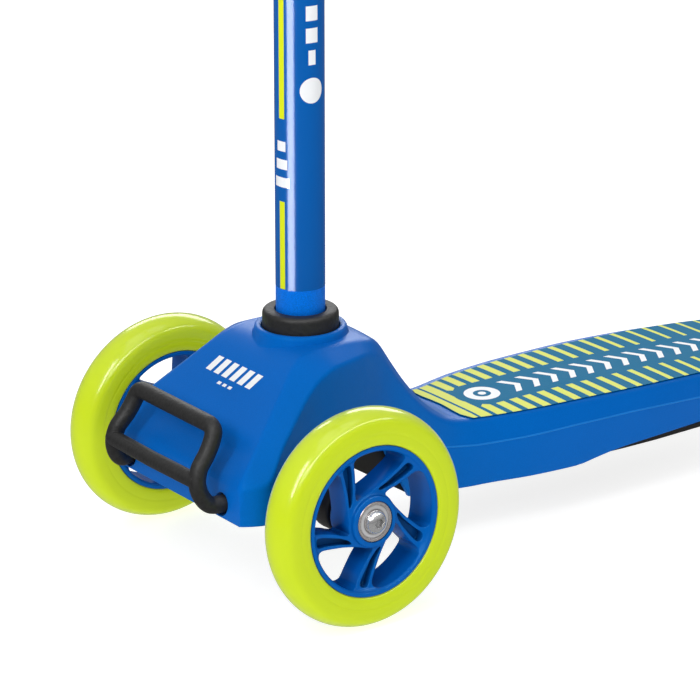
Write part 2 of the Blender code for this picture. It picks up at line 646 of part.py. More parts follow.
def make_brake():
    """Foot brake: an arc over the front of the rear wheel, then a straight plate that presses on the
    tyre at PAD_ANGLE. It is hinged at its front edge, with a coil spring."""
    centre_y, centre_z = WHEELBASE / MM, REAR_RADIUS / MM
    angles = [math.radians(126 - 46 * i / 5) for i in range(6)]
    top = [(centre_y + 49 * math.cos(a), centre_z + 49 * math.sin(a)) for a in angles]
    low = [(centre_y + 46.2 * math.cos(a), centre_z + 46.2 * math.sin(a)) for a in angles]
    outline = [(394.2, 64.5), (396.4, 67.6), (400, 71.4)] + top
    outline += [pad_point(PAD_REACH + 2.8), pad_point(PAD_REACH)] + low[::-1]
    outline += [(406.5, 69.5), (403.4, 64.6), (402, 60.4), (398, 58.6), (394.4, 60.4)]
    fender = finish("brake_fender", side_slab(outline, -14.4, 14.4), (BLACK, 0.4, 0), at(0, *BRAKE_PIN))
    cut(fender, rod(2.9 * MM, at(-20, *BRAKE_PIN), at(20, *BRAKE_PIN), 16))
    cut(fender, box((-6.5, 380, 50), (6.5, 404.4, 68)))
    pin = turned([(-22 * MM, 0), (-22 * MM, 2.5 * MM), (21 * MM, 2.5 * MM), (21 * MM, 4.2 * MM),
                  (22.6 * MM, 4.2 * MM), (22.6 * MM, 0)],
                 at(0, *BRAKE_PIN), Vector((1, 0, 0)), 14, closed=False)
    finish("brake_hinge_pin", pin, (STEEL, 0.25, 1), at(0, *BRAKE_PIN))
    spring = ring(4.3 * MM, 2.9 * MM, 6 * MM, at(0, *BRAKE_PIN), Vector((1, 0, 0)), 14)
    finish("brake_spring", spring, (STEEL, 0.3, 1), at(0, *BRAKE_PIN))


# ---------------------------------------------------------------- bail and column


BAIL_PIVOT = (-48, 66)
BAIL_RADIUS = 4.75 * MM
BAIL_LEG = ((45, -46.5, 65.5), (45, -55, 64.4), (43.2, -62.5, 64), (41.6, -67, 70), (40.4, -68.4, 78),
            (39.6, -66, 85.5), (38.3, -58.5, 94), (37.4, -55.6, 101))


def make_bail():
    """Bent-bar loop with two bars across. Its legs turn back into the hood's front lip."""
    left = [at(x, y, z) for x, y, z in BAIL_LEG]
    corner = [at(35.6, -54.6, 104.2), at(31, -54.4, 105), at(15, -54.4, 105)]
    half = left + corner
    mirrored = [Vector((-p.x, p.y, p.z)) for p in half[::-1]]
    points = through(half, 2)[:-1] + [at(0, -54.4, 105)] + through(mirrored, 2)[1:]
    bail = finish("release_bail", swept(points, BAIL_RADIUS, 10), (BLACK, 0.45, 0), at(0, *BAIL_PIVOT))
    join(bail, swept([at(-40, -69.6, 79), at(0, -70.6, 79), at(40, -69.6, 79)], 4.4 * MM, 10))
    join(bail, rod(3 * MM, at(-49, *BAIL_PIVOT), at(49, *BAIL_PIVOT), 10))
    finger = [(-50.5, 66), (-46, 63.4), (-20, 84), (-17.7, 88), (-17.7, 95.6), (-20.4, 95.6),
              (-20.4, 89.4), (-24, 87), (-49.5, 68.5)]
    join(bail, side_slab(finger, 13.2, 16), side_slab(finger, -16, -13.2))


def make_release_latch():
    """Plate with its tip in the column's slot. The bail's two fingers draw it forward."""
    latch = finish("release_latch", box((-6.6, -23, 96.2), (6.6, 12, 99.2)), (STEEL, 0.3, 1),
                   at(0, -24, 98))
    join(latch, box((-16, -23.6, 94), (16, -21, 99.4)), box((-4.8, 10, 96), (4.8, 16.3, 99.4)))


def make_column():
    up = Vector((0, 0, 1))
    foot, column = at(0, COLUMN_Y / MM, 0), COLUMN_Y / MM
    tube = turned(
        [(COLUMN_FOOT_Z, COLUMN_BORE), (COLUMN_FOOT_Z, COLUMN_RADIUS), (COLUMN_TOP_Z, COLUMN_RADIUS),
         (COLUMN_TOP_Z, COLUMN_BORE)], foot, up, 28)
    tube = finish("column_tube", tube, (BRIGHT_BLUE, 0.5, 0), at(0, column, 110))
    cut(tube, box((-5.6, 5, 95.4), (5.6, 24, 100)))
    collar = turned(
        [(127.6 * MM, COLUMN_RADIUS + 0.5 * MM), (127.6 * MM, 21 * MM), (141 * MM, 21 * MM),
         (143.6 * MM, 20.2 * MM), (144.9 * MM, 18 * MM), (144.7 * MM, 15.6 * MM),
         (143 * MM, COLUMN_RADIUS + 0.5 * MM)], foot, up, 28)
    finish("column_collar", collar, (BLACK, 0.4, 0), at(0, column, 130))


CLAMP_BOLT = (2.5, 480)


def make_clamp():
    """Clamp that grips the stem at the column's top, with a quick-release lever in front."""
    up = Vector((0, 0, 1))
    foot, column = at(0, COLUMN_Y / MM, 0), COLUMN_Y / MM
    sleeve = turned(
        [(446 * MM, COLUMN_RADIUS + 0.5 * MM), (446 * MM, 18 * MM), (449 * MM, 19 * MM), (489 * MM, 19 * MM),
         (492 * MM, 17 * MM), (492 * MM, 11.6 * MM), (470.5 * MM, 11.6 * MM),
         (470.5 * MM, COLUMN_RADIUS + 0.5 * MM)],
        foot, up, 26)
    clamp = finish("height_clamp", sleeve, (BLACK, 0.4, 0), at(0, column, 470))
    ear = [(14, 472), (14, 488), (-1, 488), (-5, 484), (-5, 476), (-1, 472)]
    join(clamp, side_slab(ear, -9, 9))
    cut(clamp, box((-1.5, -20, 471), (1.5, 17, 500)))
    cut(clamp, rod(11.9 * MM, at(0, column, 471.2), at(0, column, 500), 24))
    cut(clamp, rod(3.4 * MM, at(-20, *CLAMP_BOLT), at(20, *CLAMP_BOLT), 12))
    bolt = turned(
        [(-12.4 * MM, 0), (-12.4 * MM, 5 * MM), (-9.4 * MM, 5.4 * MM), (-9.4 * MM, 3 * MM),
         (18 * MM, 3 * MM), (18 * MM, 0)], at(0, *CLAMP_BOLT), Vector((1, 0, 0)), 14, closed=False)
    finish("clamp_bolt", bolt, (STEEL, 0.25, 1), at(0, *CLAMP_BOLT))
    lever = finish("clamp_lever", rod(7 * MM, at(9.4, *CLAMP_BOLT), at(19, *CLAMP_BOLT), 18),
                   (BLACK, 0.4, 0), at(0, *CLAMP_BOLT))
    blade = [(-3, 481), (-3, 470), (0, 450), (5, 438), (9, 440), (8, 452), (9.5, 470), (9, 482)]
    join(lever, side_slab(blade, 13, 18.4))
    cut(lever, rod(3.4 * MM, at(0, *CLAMP_BOLT), at(30, *CLAMP_BOLT), 12))


def make_handlebar():
    up, across = Vector((0, 0, 1)), Vector((1, 0, 0))
    foot, column = at(0, COLUMN_Y / MM, 0), COLUMN_Y / MM
    middle = at(0, column, HANDLEBAR_Z / MM)
    stem = rod(STEM_RADIUS, at(0, column, 300), middle, 24)
    bar = finish("handlebar", stem, (STEEL, 0.2, 1), at(0, column, 470))
    join(bar, rod(STEM_RADIUS, middle - across * HANDLEBAR_HALF, middle + across * HANDLEBAR_HALF, 24))
    join(bar, turned([(600 * MM, 0), (600 * MM, 11.8 * MM), (604 * MM, 14 * MM),
                      (652 * MM, 14 * MM), (652 * MM, 0)], foot, up, 22, closed=False))
    join(bar, turned([(-24 * MM, 0), (-24 * MM, 15 * MM), (24 * MM, 15 * MM), (24 * MM, 0)],
                     middle, across, 26, closed=False))
    cut(bar, rod(9.4 * MM, middle - across * (140 * MM), middle + across * (140 * MM), 20))
    cut(bar, rod(9.4 * MM, at(0, column, 290), at(0, column, 636), 20))
    for side, name in ((1, "left"), (-1, "right")):
        start = middle + across * (30 * MM * side)
        grip = turned(
            [(0, 11.5 * MM), (0, 18 * MM), (3 * MM, 18 * MM), (5 * MM, GRIP_RADIUS),
             (96 * MM, GRIP_RADIUS), (98 * MM, 18 * MM), (101.2 * MM, 18 * MM), (101.2 * MM, 11.5 * MM)],
            start, across * side, 20)
        finish(f"grip_{name}", grip, (BLACK, 0.6, 0), start)
        plug = turned(
            [(-14 * MM, 0), (-14 * MM, 9 * MM), (0.4 * MM, 9 * MM), (0.4 * MM, 13.6 * MM),
             (3.6 * MM, 13.6 * MM), (6 * MM, 10.5 * MM), (6.6 * MM, 0)],
            middle + across * (131.4 * MM * side), across * side, 18, closed=False)
        finish(f"bar_end_{name}", plug, (LIME, 0.4, 0), start)


def main():
    clear_scene()
    make_deck_shell()
    make_grip_mat()
    make_tray()
    make_truck_base()
    make_pivot_bolt()
    make_truck_hanger()
    make_centring_springs()
    make_front_wheel("front_left", 1)
    make_front_wheel("front_right", -1)
    make_rear_wheel()
    make_rear_fork()
    make_brake()
    make_bail()
    make_release_latch()
    make_column()
    make_clamp()
    make_handlebar()


main()
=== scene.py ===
"""Looks of the kick scooter: fine shapes, materials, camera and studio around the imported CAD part."""
import json
import math

import bmesh
import bpy
import numpy as np
from mathutils import Matrix, Vector

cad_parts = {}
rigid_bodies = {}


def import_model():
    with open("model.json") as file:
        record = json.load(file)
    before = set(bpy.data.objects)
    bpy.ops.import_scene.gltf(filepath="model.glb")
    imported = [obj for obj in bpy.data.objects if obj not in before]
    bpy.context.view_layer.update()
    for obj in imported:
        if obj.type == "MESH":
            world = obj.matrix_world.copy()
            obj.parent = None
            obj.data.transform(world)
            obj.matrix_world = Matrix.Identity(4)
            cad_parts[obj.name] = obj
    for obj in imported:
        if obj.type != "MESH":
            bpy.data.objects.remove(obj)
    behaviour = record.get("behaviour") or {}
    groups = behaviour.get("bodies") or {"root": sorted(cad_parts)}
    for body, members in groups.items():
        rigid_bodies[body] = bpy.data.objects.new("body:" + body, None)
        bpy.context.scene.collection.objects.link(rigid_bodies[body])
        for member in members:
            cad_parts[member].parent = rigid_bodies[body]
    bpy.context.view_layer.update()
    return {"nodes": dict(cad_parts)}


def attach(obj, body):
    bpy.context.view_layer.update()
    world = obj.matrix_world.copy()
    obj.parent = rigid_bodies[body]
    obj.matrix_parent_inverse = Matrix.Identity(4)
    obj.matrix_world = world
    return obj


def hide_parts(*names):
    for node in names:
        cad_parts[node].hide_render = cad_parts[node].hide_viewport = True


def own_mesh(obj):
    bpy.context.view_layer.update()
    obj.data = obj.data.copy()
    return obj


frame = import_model()

# Outlines and places are in millimetres, with y counted back from the front axle line
Y0 = -0.20465  # where the front axle line is in the frame, in metres
COL_Y, COL_R, COL_BORE = 27.7, 13.5, 11.5
FILM_R, PRINT_R = COL_R + 0.08, COL_R + 0.12
WHEEL_X, R_FRONT, R_RIM = 95.25, 60.0, 41.4
REAR_Y, R_REAR = 438, 40
CLAMP_Y, CLAMP_Z = 2.5, 480
HINGE_Y, HINGE_Z = 398.5, 63
BAR_Z = 650.0
DECK_FRONT, DECK_REAR = -57, 392
CAMBER = math.radians(2.6)
SLOPE = math.radians(32.4)
UP, ACROSS = Vector((0, 0, 1)), Vector((1, 0, 0))
SIDES = ((1, "left"), (-1, "right"))
VIEW_AZ, VIEW_EL = math.radians(53.786), math.radians(19.546)
CAMERA_AT = Vector((1.5071, Y0 - 1.0425, 0.7763))


def at(x, y, z):
    return Vector((x / 1000, Y0 + y / 1000, z / 1000))


# ---------------- meshes


def axes_of(direction):
    w = Vector(direction).normalized()
    side = Vector((0, 0, 1)) if abs(w.z) < 0.9 else Vector((0, 1, 0))
    u = side.cross(w).normalized()
    return u, w.cross(u), w


def skin(bm, rings, closed, caps=False):
    """Joins rings of vertices with faces; closed joins the last ring to the first."""
    pairs = list(zip(rings, rings[1:])) + ([(rings[-1], rings[0])] if closed else [])
    for first, second in pairs:
        count = max(len(first), len(second))
        for i in range(count):
            j = (i + 1) % count
            corners = [first[i % len(first)], first[j % len(first)],
                       second[j % len(second)], second[i % len(second)]]
            corners = list(dict.fromkeys(corners))
            if len(corners) > 2:
                bm.faces.new(corners)
    if caps:
        bm.faces.new(rings[0])
        bm.faces.new(rings[-1])


def turned(profile, centre, direction, steps=96, closed=True):
    """Turns (along, radius) points about an axis."""
    bm = bmesh.new()
    u, v, w = axes_of(direction)
    angles = [2 * math.pi * i / steps for i in range(steps)]
    rings = []
    for along, radius in profile:
        middle = centre + w * (along / 1000)
        reach = radius / 1000
        rings.append([bm.verts.new(middle + (u * math.cos(a) + v * math.sin(a)) * reach)
                      for a in (angles if radius else [0])])
    skin(bm, rings, closed)
    return bm


def rod(radius, start, end, steps=48):
    length = (end - start).length * 1000
    return turned([(0, 0), (0, radius), (length, radius), (length, 0)], start, end - start, steps, False)


def slab(outline, low, high, place):
    bm = bmesh.new()
    skin(bm, [[bm.verts.new(place(a, b, depth)) for a, b in outline] for depth in (low, high)], False, True)
    return bm


def side_slab(outline, low, high):
    return slab(outline, low, high, lambda y, z, x: at(x, y, z))


def box(low, high):
    return side_slab([(low[1], low[2]), (high[1], low[2]), (high[1], high[2]), (low[1], high[2])],
                     low[0], high[0])


def through(points, steps=8):
    """Points on a smooth curve through the given ones."""
    ends = [points[0] * 2 - points[1], *points, points[-1] * 2 - points[-2]]
    found = []
    for a, b, c, d in zip(ends, ends[1:], ends[2:], ends[3:]):
        for i in range(steps):
            t = i / steps
            found.append(((b * 2) + (c - a) * t + (a * 2 - b * 5 + c * 4 - d) * t * t
                          + (b * 3 - a - c * 3 + d) * t ** 3) / 2)
    return found + [points[-1]]


def swept(points, radius, sides=24):
    """A round bar along points. radius is a number or one for each point."""
    bm = bmesh.new()
    radii = radius if isinstance(radius, list) else [radius] * len(points)
    angles = [2 * math.pi * i / sides for i in range(sides)]
    u = None
    rings = []
    for k, point in enumerate(points):
        tangent = (points[min(k + 1, len(points) - 1)] - points[max(k - 1, 0)]).normalized()
        u = axes_of(tangent)[0] if u is None else (u - tangent * u.dot(tangent)).normalized()
        v = tangent.cross(u)
        rings.append([bm.verts.new(point + (u * math.cos(a) + v * math.sin(a)) * (radii[k] / 1000))
                      for a in angles])
    skin(bm, rings, False, True)
    return bm


def bend(a, corner, b, shares):
    """Points of a soft corner, at these shares of the way from a to b."""
    return [tuple((1 - t) ** 2 * a + 2 * t * (1 - t) * corner + t * t * b) for t in shares]


def rounded(points, radii, steps=6):
    """A polygon of (a, b) points with each corner rounded by its own reach."""
    found = []
    spots = [np.array(p, float) for p in points]
    for p, before, after, r in zip(spots, spots[-1:] + spots[:-1], spots[1:] + spots[:1], radii):
        if r <= 0:
            found.append(tuple(p))
            continue
        a, b = before - p, after - p
        reach = min(r, 0.48 * np.linalg.norm(a), 0.48 * np.linalg.norm(b))
        found += bend(p + a / np.linalg.norm(a) * reach, p, p + b / np.linalg.norm(b) * reach,
                      [k / steps for k in range(steps + 1)])
    return found


def new_object(name, bm, recalc=True):
    if recalc:
        bmesh.ops.recalc_face_normals(bm, faces=bm.faces)
    mesh = bpy.data.meshes.new(name)
    bm.to_mesh(mesh)
    bm.free()
    obj = bpy.data.objects.new(name, mesh)
    bpy.context.scene.collection.objects.link(obj)
    return obj


def lathe(name, profile, centre, direction, steps=96, closed=True):
    return new_object(name, turned(profile, centre, direction, steps, closed))


def face_towards(bm, direction):
    bm.normal_update()
    for face in bm.faces:
        if face.normal.dot(direction) < 0:
            face.normal_flip()


def settle(obj):
    """Applies obj's modifiers."""
    mesh = bpy.data.meshes.new_from_object(obj.evaluated_get(bpy.context.evaluated_depsgraph_get()))
    obj.modifiers.clear()
    obj.data = mesh


def carve(obj, operation, *tools):
    for bm in tools:
        helper = new_object("tool", bm)
        modifier = obj.modifiers.new("carve", "BOOLEAN")
        modifier.operation = operation
        modifier.solver = "EXACT"
        modifier.object = helper
        settle(obj)
        bpy.data.objects.remove(helper)


def cut(obj, *tools):
    carve(obj, "DIFFERENCE", *tools)


def join(obj, *tools):
    carve(obj, "UNION", *tools)


def soften(obj, width, angle=40):
    """Rounds the edges of a piece."""
    modifier = obj.modifiers.new("soft_edges", "BEVEL")
    modifier.width = width / 1000
    modifier.segments = 2
    modifier.limit_method = "ANGLE"
    modifier.angle_limit = math.radians(angle)
    return modifier


def bevel(obj, width, angle, segments=2):
    soften(obj, width, angle).segments = segments
    settle(obj)


def shade_smoothly(obj, angle):
    obj.data.shade_smooth()
    obj.data.set_sharp_from_angle(angle=math.radians(angle))


def dress(obj, body, material, replaces=None, angle=38):
    """Gives a piece its finish, smooth shading and body. Two-toned pieces have their materials already."""
    if material:
        obj.data.materials.clear()
        obj.data.materials.append(material)
    shade_smoothly(obj, angle)
    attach(obj, body)
    if replaces:
        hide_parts(replaces)


def paint(node, material):
    """Finish of a CAD node that is shown as it is."""
    obj = frame["nodes"][node]
    obj.data.materials.clear()
    obj.data.materials.append(material)
    shade_smoothly(obj, 35)


# ---------------- materials


def srgb(r, g, b):
    def one(c):
        c /= 255
        return c / 12.92 if c <= 0.04045 else ((c + 0.055) / 1.055) ** 2.4
    return (one(r), one(g), one(b), 1)


def adjust(node, **inputs):
    """Sets a node's inputs; an underscore stands for a blank."""
    for name, value in inputs.items():
        node.inputs[name.replace("_", " ")].default_value = value
    return node


def put(nodes, kind, **inputs):
    return adjust(nodes.new("ShaderNode" + kind), **inputs)


def wire(source, output, target, entry):
    source.id_data.links.new(source.outputs[output], target.inputs[entry])


def finish_of(name, color, roughness, metallic=0.0, grain=900, bump=0.04, edge=0.0, coat=0.0,
              specular=0.5, vary=0.04, subsurface=0.0, scatter=(1, 1, 1), tint=(1, 1, 1), speckle=0.0,
              painted_shade_reach=0.0, depth=0.8, sheen=0.0, glow=(1, 1, 1, 1), painted_glow_strength=0.0):
    """Principled finish with a fine grain, slight tone changes, softened edges, painted shade in cavities and
    an optional painted glow.
    """
    m = bpy.data.materials.new(name)
    m.use_nodes = True
    nodes = m.node_tree.nodes
    # emission here is a painted glow: light the surface gives off though it is no lamp
    shader = adjust(nodes["Principled BSDF"], Metallic=metallic, Coat_Weight=coat, Coat_Roughness=0.06,
                    Specular_IOR_Level=specular, Specular_Tint=(*tint, 1), Sheen_Weight=sheen,
                    Sheen_Roughness=0.35, Emission_Color=glow, Emission_Strength=painted_glow_strength)
    if subsurface:
        adjust(shader, Subsurface_Weight=subsurface, Subsurface_Radius=scatter, Subsurface_Scale=0.004)
    place = put(nodes, "TexCoord")
    broad = put(nodes, "TexNoise", Scale=35, Detail=3)
    wire(place, "Object", broad, "Vector")
    tone = put(nodes, "MapRange", To_Min=1 - vary, To_Max=1 + vary)
    wire(broad, "Fac", tone, "Value")
    shade = put(nodes, "VectorMath")
    shade.operation = "SCALE"
    shade.inputs[0].default_value = color[:3]
    wire(tone, "Result", shade, "Scale")
    wire(shade, "Vector", shader, "Base Color")
    rough = put(nodes, "MapRange", To_Min=roughness * 0.88, To_Max=min(1, roughness * 1.12))
    wire(broad, "Fac", rough, "Value")
    wire(rough, "Result", shader, "Roughness")
    normal = None
    if edge:
        normal = put(nodes, "Bevel", Radius=edge / 1000)
        normal.samples = 6
    if bump:
        fine = put(nodes, "TexNoise", Scale=grain, Detail=2)
        wire(place, "Object", fine, "Vector")
        if speckle:
            dots = put(nodes, "MapRange", From_Min=0.3, From_Max=0.7, To_Min=1 - vary - speckle,
                       To_Max=1 - vary + speckle)
            wire(fine, "Fac", dots, "Value")
            both = put(nodes, "Math")
            both.operation = "MULTIPLY"
            wire(tone, "Result", both, 0)
            wire(dots, "Result", both, 1)
            wire(both, "Value", shade, "Scale")
        relief = put(nodes, "Bump", Strength=bump, Distance=0.0004)
        wire(fine, "Fac", relief, "Height")
        if normal:
            wire(normal, "Normal", relief, "Normal")
        normal = relief
    if normal:
        wire(normal, "Normal", shader, "Normal")
    # painted shade: ambient occlusion darkens the base colour in cavities, crevices and gaps between parts,
    # by up to depth
    if painted_shade_reach:
        painted_shade_ao = put(nodes, "AmbientOcclusion", Distance=painted_shade_reach / 1000)
        painted_shade_ao.samples = 8
        painted_shade_scale = put(nodes, "MapRange", From_Min=0.1, From_Max=0.9, To_Min=1 - depth)
        wire(painted_shade_ao, "AO", painted_shade_scale, "Value")
        last = put(nodes, "VectorMath")
        last.operation = "SCALE"
        wire(shade, "Vector", last, 0)
        wire(painted_shade_scale, "Result", last, "Scale")
        wire(last, "Vector", shader, "Base Color")
    return m


COOL = (0.1, 0.5, 1.0)
BLUE = finish_of("moulded_blue", srgb(0, 99, 190), 0.40, grain=1500, bump=0.14, edge=0.8, vary=0.03,
                 tint=COOL, speckle=0.05, specular=0.22)
BRIGHT = finish_of("matte_blue", srgb(0, 112, 226), 0.6, grain=1900, bump=0.4, tint=COOL, speckle=0.22)
FILM = finish_of("film_blue", srgb(0, 88, 168), 0.17, bump=0, vary=0.01, specular=0.16)
FILM_LIME = finish_of("film_lime", srgb(216, 226, 20), 0.17, bump=0, vary=0.01, specular=0.25)
FILM_WHITE = finish_of("film_white", srgb(240, 242, 245), 0.15, bump=0, coat=0.5, vary=0.01)
# painted shade: the hub's base colour darkens in its windows, slots and recesses by ambient occlusion
HUB = finish_of("hub_blue", srgb(0, 92, 178), 0.2, grain=700, bump=0.03, edge=0.9, vary=0.03, specular=0.45,
                tint=(0.2, 0.6, 1.0), painted_shade_reach=14, depth=0.75)
# the tyres' emission is a painted glow that brightens their shaded sides
LIME = finish_of("cast_lime", srgb(190, 208, 26), 0.2, grain=260, bump=0.02, coat=0.4, vary=0.02,
                 subsurface=0.5, scatter=(1.0, 0.9, 0.25), sheen=0.25, glow=srgb(205, 235, 20),
                 painted_glow_strength=0.15)
LIME_PLASTIC = finish_of("lime_plastic", srgb(214, 230, 45), 0.3, edge=0.5, vary=0.02)
DARK = finish_of("dark_rubbery", srgb(36, 36, 36), 0.5, grain=520, bump=0.6, edge=0.5, vary=0.2, speckle=0.2)
BLACK = finish_of("black_moulded", srgb(30, 28, 28), 0.42, bump=0.10, edge=0.6, vary=0.08)
GRIP = finish_of("grip_rubber", srgb(44, 44, 46), 0.62, grain=1100, bump=0.2, vary=0.08)
# painted shade: the steel's base colour darkens in crevices and where parts meet, by ambient occlusion
STEEL = finish_of("bright_steel", (0.9, 0.9, 0.9), 0.1, 0.86, bump=0.02, edge=0.3, vary=0.03, painted_shade_reach=3)
SATIN = finish_of("satin_chrome", (0.8, 0.8, 0.81), 0.24, 0.62, grain=1200, bump=0.02, edge=0.3, vary=0.03)
GROUND = finish_of("ground_steel", (0.52, 0.52, 0.54), 0.28, 1.0, grain=600, edge=0.25, vary=0.05)
# painted shade: the shield's base colour darkens in its gaps and where it meets the races, by ambient
# occlusion
SEAL = finish_of("bearing_shield", (0.84, 0.84, 0.85), 0.24, 0.5, grain=700, bump=0.03, vary=0.05, painted_shade_reach=2)
RACE = finish_of("bearing_race", (0.78, 0.74, 0.73), 0.2, 0.8, bump=0, vary=0.02)
TEAL = finish_of("mat_teal", srgb(0, 110, 152), 0.6, bump=0.25, vary=0.02, specular=0.12, tint=COOL)
MAT_LIME = finish_of("mat_lime", srgb(220, 228, 84), 0.55, bump=0.25, vary=0.02)
MAT_WHITE = finish_of("mat_white", srgb(244, 246, 248), 0.5, bump=0.2, vary=0.01)
# lighter blue of the belt bead: a painted highlight on the moulded line
BELT_HIGHLIGHT_BLUE = finish_of("edge_blue", srgb(24, 118, 204), 0.35, grain=1500, bump=0.1, vary=0.05, tint=COOL)
ELASTOMER = finish_of("elastomer", srgb(120, 124, 128), 0.5, grain=500, bump=0.1)

# ---------------- hood and deck

# y, crown z, then (x, z) of the ridge, the side edge, the belt line and the bottom edge
STATIONS = np.array((
    (-57, 77, 61.5, 76.5, 63, 74.5, 63.6, 66, 63.6, 57),
    (-55, 81.5, 61.5, 81, 64.8, 78, 65.2, 68, 65.2, 57),
    (-44, 91, 56.7, 90.8, 69.6, 79.5, 70.2, 68, 70.2, 57),
    (-28.5, 104.3, 48.3, 104, 62, 94, 63.2, 76, 63.5, 57),
    (-15, 115.7, 41.4, 115.4, 55.4, 104.8, 57.2, 82, 58, 57),
    (-1.5, 127, 34.2, 126.6, 49.5, 115.6, 52, 88, 53, 55),
    (6, 131, 31.8, 130.6, 47.6, 121, 49.6, 92, 50.5, 53),
    (18, 132.2, 31.2, 131.8, 46, 125.6, 47.4, 95, 48.2, 50),
    (38, 132.2, 31, 131.6, 41.5, 126, 42.6, 92, 43.2, 43),
    (52, 131.2, 29.6, 130.2, 35.6, 123, 36.6, 86, 37, 38),
    (62, 126.4, 24.4, 125.4, 32, 114.4, 32.8, 78, 33, 35),
    (72, 113.8, 20.6, 112.8, 31, 100.8, 31.4, 71, 31.4, 33),
    (84, 97, 19.6, 96, 30.8, 87, 31.2, 62, 31.2, 31),
    (98, 80.6, 21.6, 79.8, 30.6, 75, 31.6, 57, 31.4, 29.4),
    (112, 70.6, 26.4, 70.2, 31, 68, 33.2, 54.8, 32.2, 28.8),
    (122, 68.1, 29.2, 67.9, 32.2, 66.4, 35.4, 53.9, 34, 28.6),
    (130, 67.3, 31.2, 67.1, 33.6, 65.8, 36.8, 53.6, 35, 28.6),
    (160, 67.6, 37.8, 67.4, 40, 66.1, 43.2, 54.2, 41.2, 28.6),
    (190, 67.6, 41, 67.4, 43.4, 66.1, 46.8, 55.2, 44.6, 28.8),
    (202, 67.4, 41.8, 67.2, 44.2, 65.9, 47.6, 55.2, 45.5, 30.9),
    (220, 67, 42.8, 66.8, 45.2, 65.5, 48.6, 55.2, 46.6, 33.5),
    (250, 66.3, 43.8, 66.1, 46.2, 64.8, 49.4, 54.2, 47.4, 35.2),
    (290, 64.6, 43, 64.4, 45.4, 63.1, 48.4, 52, 46.4, 36.3),
    (340, 61.8, 38.6, 61.6, 41, 60.3, 43.6, 49.6, 41.8, 36.7),
    (392, 58.6, 31, 58.4, 33.4, 57.1, 35.4, 47.4, 34, 36.8),
))


def gentle(xs, ys, x):
    """A curve through the points with no overshoot between them."""
    h = np.diff(xs)
    d = np.diff(ys) / h
    slopes = np.concatenate(([d[0]], np.where(d[:-1] * d[1:] <= 0, 0, 2 * d[:-1] * d[1:] / np.where(
        d[:-1] + d[1:] == 0, 1, d[:-1] + d[1:])), [d[-1]]))
    i = np.clip(np.searchsorted(xs, x, side="right") - 1, 0, len(h) - 1)
    t = (x - xs[i]) / h[i]
    rise = ys[i + 1] - ys[i]
    a, b = slopes[i] * h[i], slopes[i + 1] * h[i]
    return ys[i] + t * a + t * t * (3 * rise - 2 * a - b) + t ** 3 * (a + b - 2 * rise)


FINE_Y = np.arange(DECK_FRONT, DECK_REAR + 0.5, 0.5)
ROWS = []
for values in STATIONS.T[1:]:
    line = gentle(STATIONS[:, 0], values, FINE_Y)
    reach = np.clip(np.minimum(FINE_Y - DECK_FRONT, DECK_REAR - FINE_Y) / 3, 0.02, 2.6)
    smooth = np.empty_like(line)
    for k, (y, s) in enumerate(zip(FINE_Y, reach)):
        w = np.exp(-0.5 * ((FINE_Y - y) / s) ** 2)
        smooth[k] = (w * line).sum() / w.sum()
    ROWS.append(smooth)
ROWS = np.array(ROWS)


def corners(y):
    return [float(np.interp(y, FINE_Y, row)) for row in ROWS]


def section(y, inset=0.0):
    """Rounded half section (x, z) from the middle of the crown to the bottom edge."""
    crown, rx, rz, sx, sz, bx, bz, ex, ez = corners(y)
    deck = min(1, max(0, (y - 84) / 34))  # 0 on the hood and 1 on the deck
    neck = min(1, max(0, (y - 40) / 20)) * (1 - deck)
    reach = [2.2 + 2 * neck + 0.2 * deck, 2.0 + 1.5 * neck + 0.2 * deck, 3.5 - 2.3 * deck, 1.0]
    bottom = ez - (20 if inset else 0)
    points = [(-rx * 0.4, crown), (rx, rz), (sx, sz), (bx, bz), (ex, bottom), (0, bottom)]
    if inset:
        points = [(-rx * 0.4, crown - inset), (rx - 0.7 * inset, rz - inset), (sx - inset, sz - 0.7 * inset),
                  (bx - inset, bz), (ex - inset, bottom), (0, bottom)]
    outline = []
    for i in range(1, 5):
        p, a, b = (np.array(points[k], float) for k in (i, i - 1, i + 1))
        r = min(reach[i - 1], 0.46 * np.linalg.norm(a - p), 0.46 * np.linalg.norm(b - p))
        outline.append(bend(p + (a - p) / np.linalg.norm(a - p) * r, p,
                            p + (b - p) / np.linalg.norm(b - p) * r, np.linspace(0, 1, 7)))
    found = []
    top_x, top_z = outline[0][0]
    for t in (0.0, 0.25, 0.5, 0.75):
        found.append((top_x * t, points[0][1] + (top_z - points[0][1]) * t ** 2))
    for i, arc in enumerate(outline):
        found += arc
        if i < 3:
            a, b = np.array(arc[-1]), np.array(outline[i + 1][0])
            steps = (2, 6, 4)[i]
            for k in range(1, steps):
                found.append(tuple(a + (b - a) * k / steps))
    return found


def dent(x, y, z):
    """How far the front face is pressed in behind the bail, in millimetres."""
    if y > -20:
        return 0.0

    def ease(t):
        t = min(1, max(0, t))
        return t * t * (3 - 2 * t)
    return 3.4 * ease((52 - abs(x)) / 8) * ease((98 - z) / 7) * ease((z - 65) / 5)


def lofted(ys, inset):
    bm = bmesh.new()
    rings = []
    for y in ys:
        half = section(y, inset)
        outline = half + [(-x, z) for x, z in half[:0:-1]]
        ring = []
        for x, z in outline:
            d = dent(x, y, z) if y < ys[-1] - 1 else 0
            ring.append(bm.verts.new(at(x, y + 0.76 * d, z - 0.65 * d)))
        rings.append(ring)
    skin(bm, rings, False, True)
    return bm


def along_deck(low, high):
    """Section places, close together on the hood and wider apart on the deck."""
    stretches = (low, low + 5, 0.8), (low + 6, 126, 2.2), (128, high - 4, 6)
    return [y for stretch in stretches for y in np.arange(*stretch)] + [high - 1.5, high]


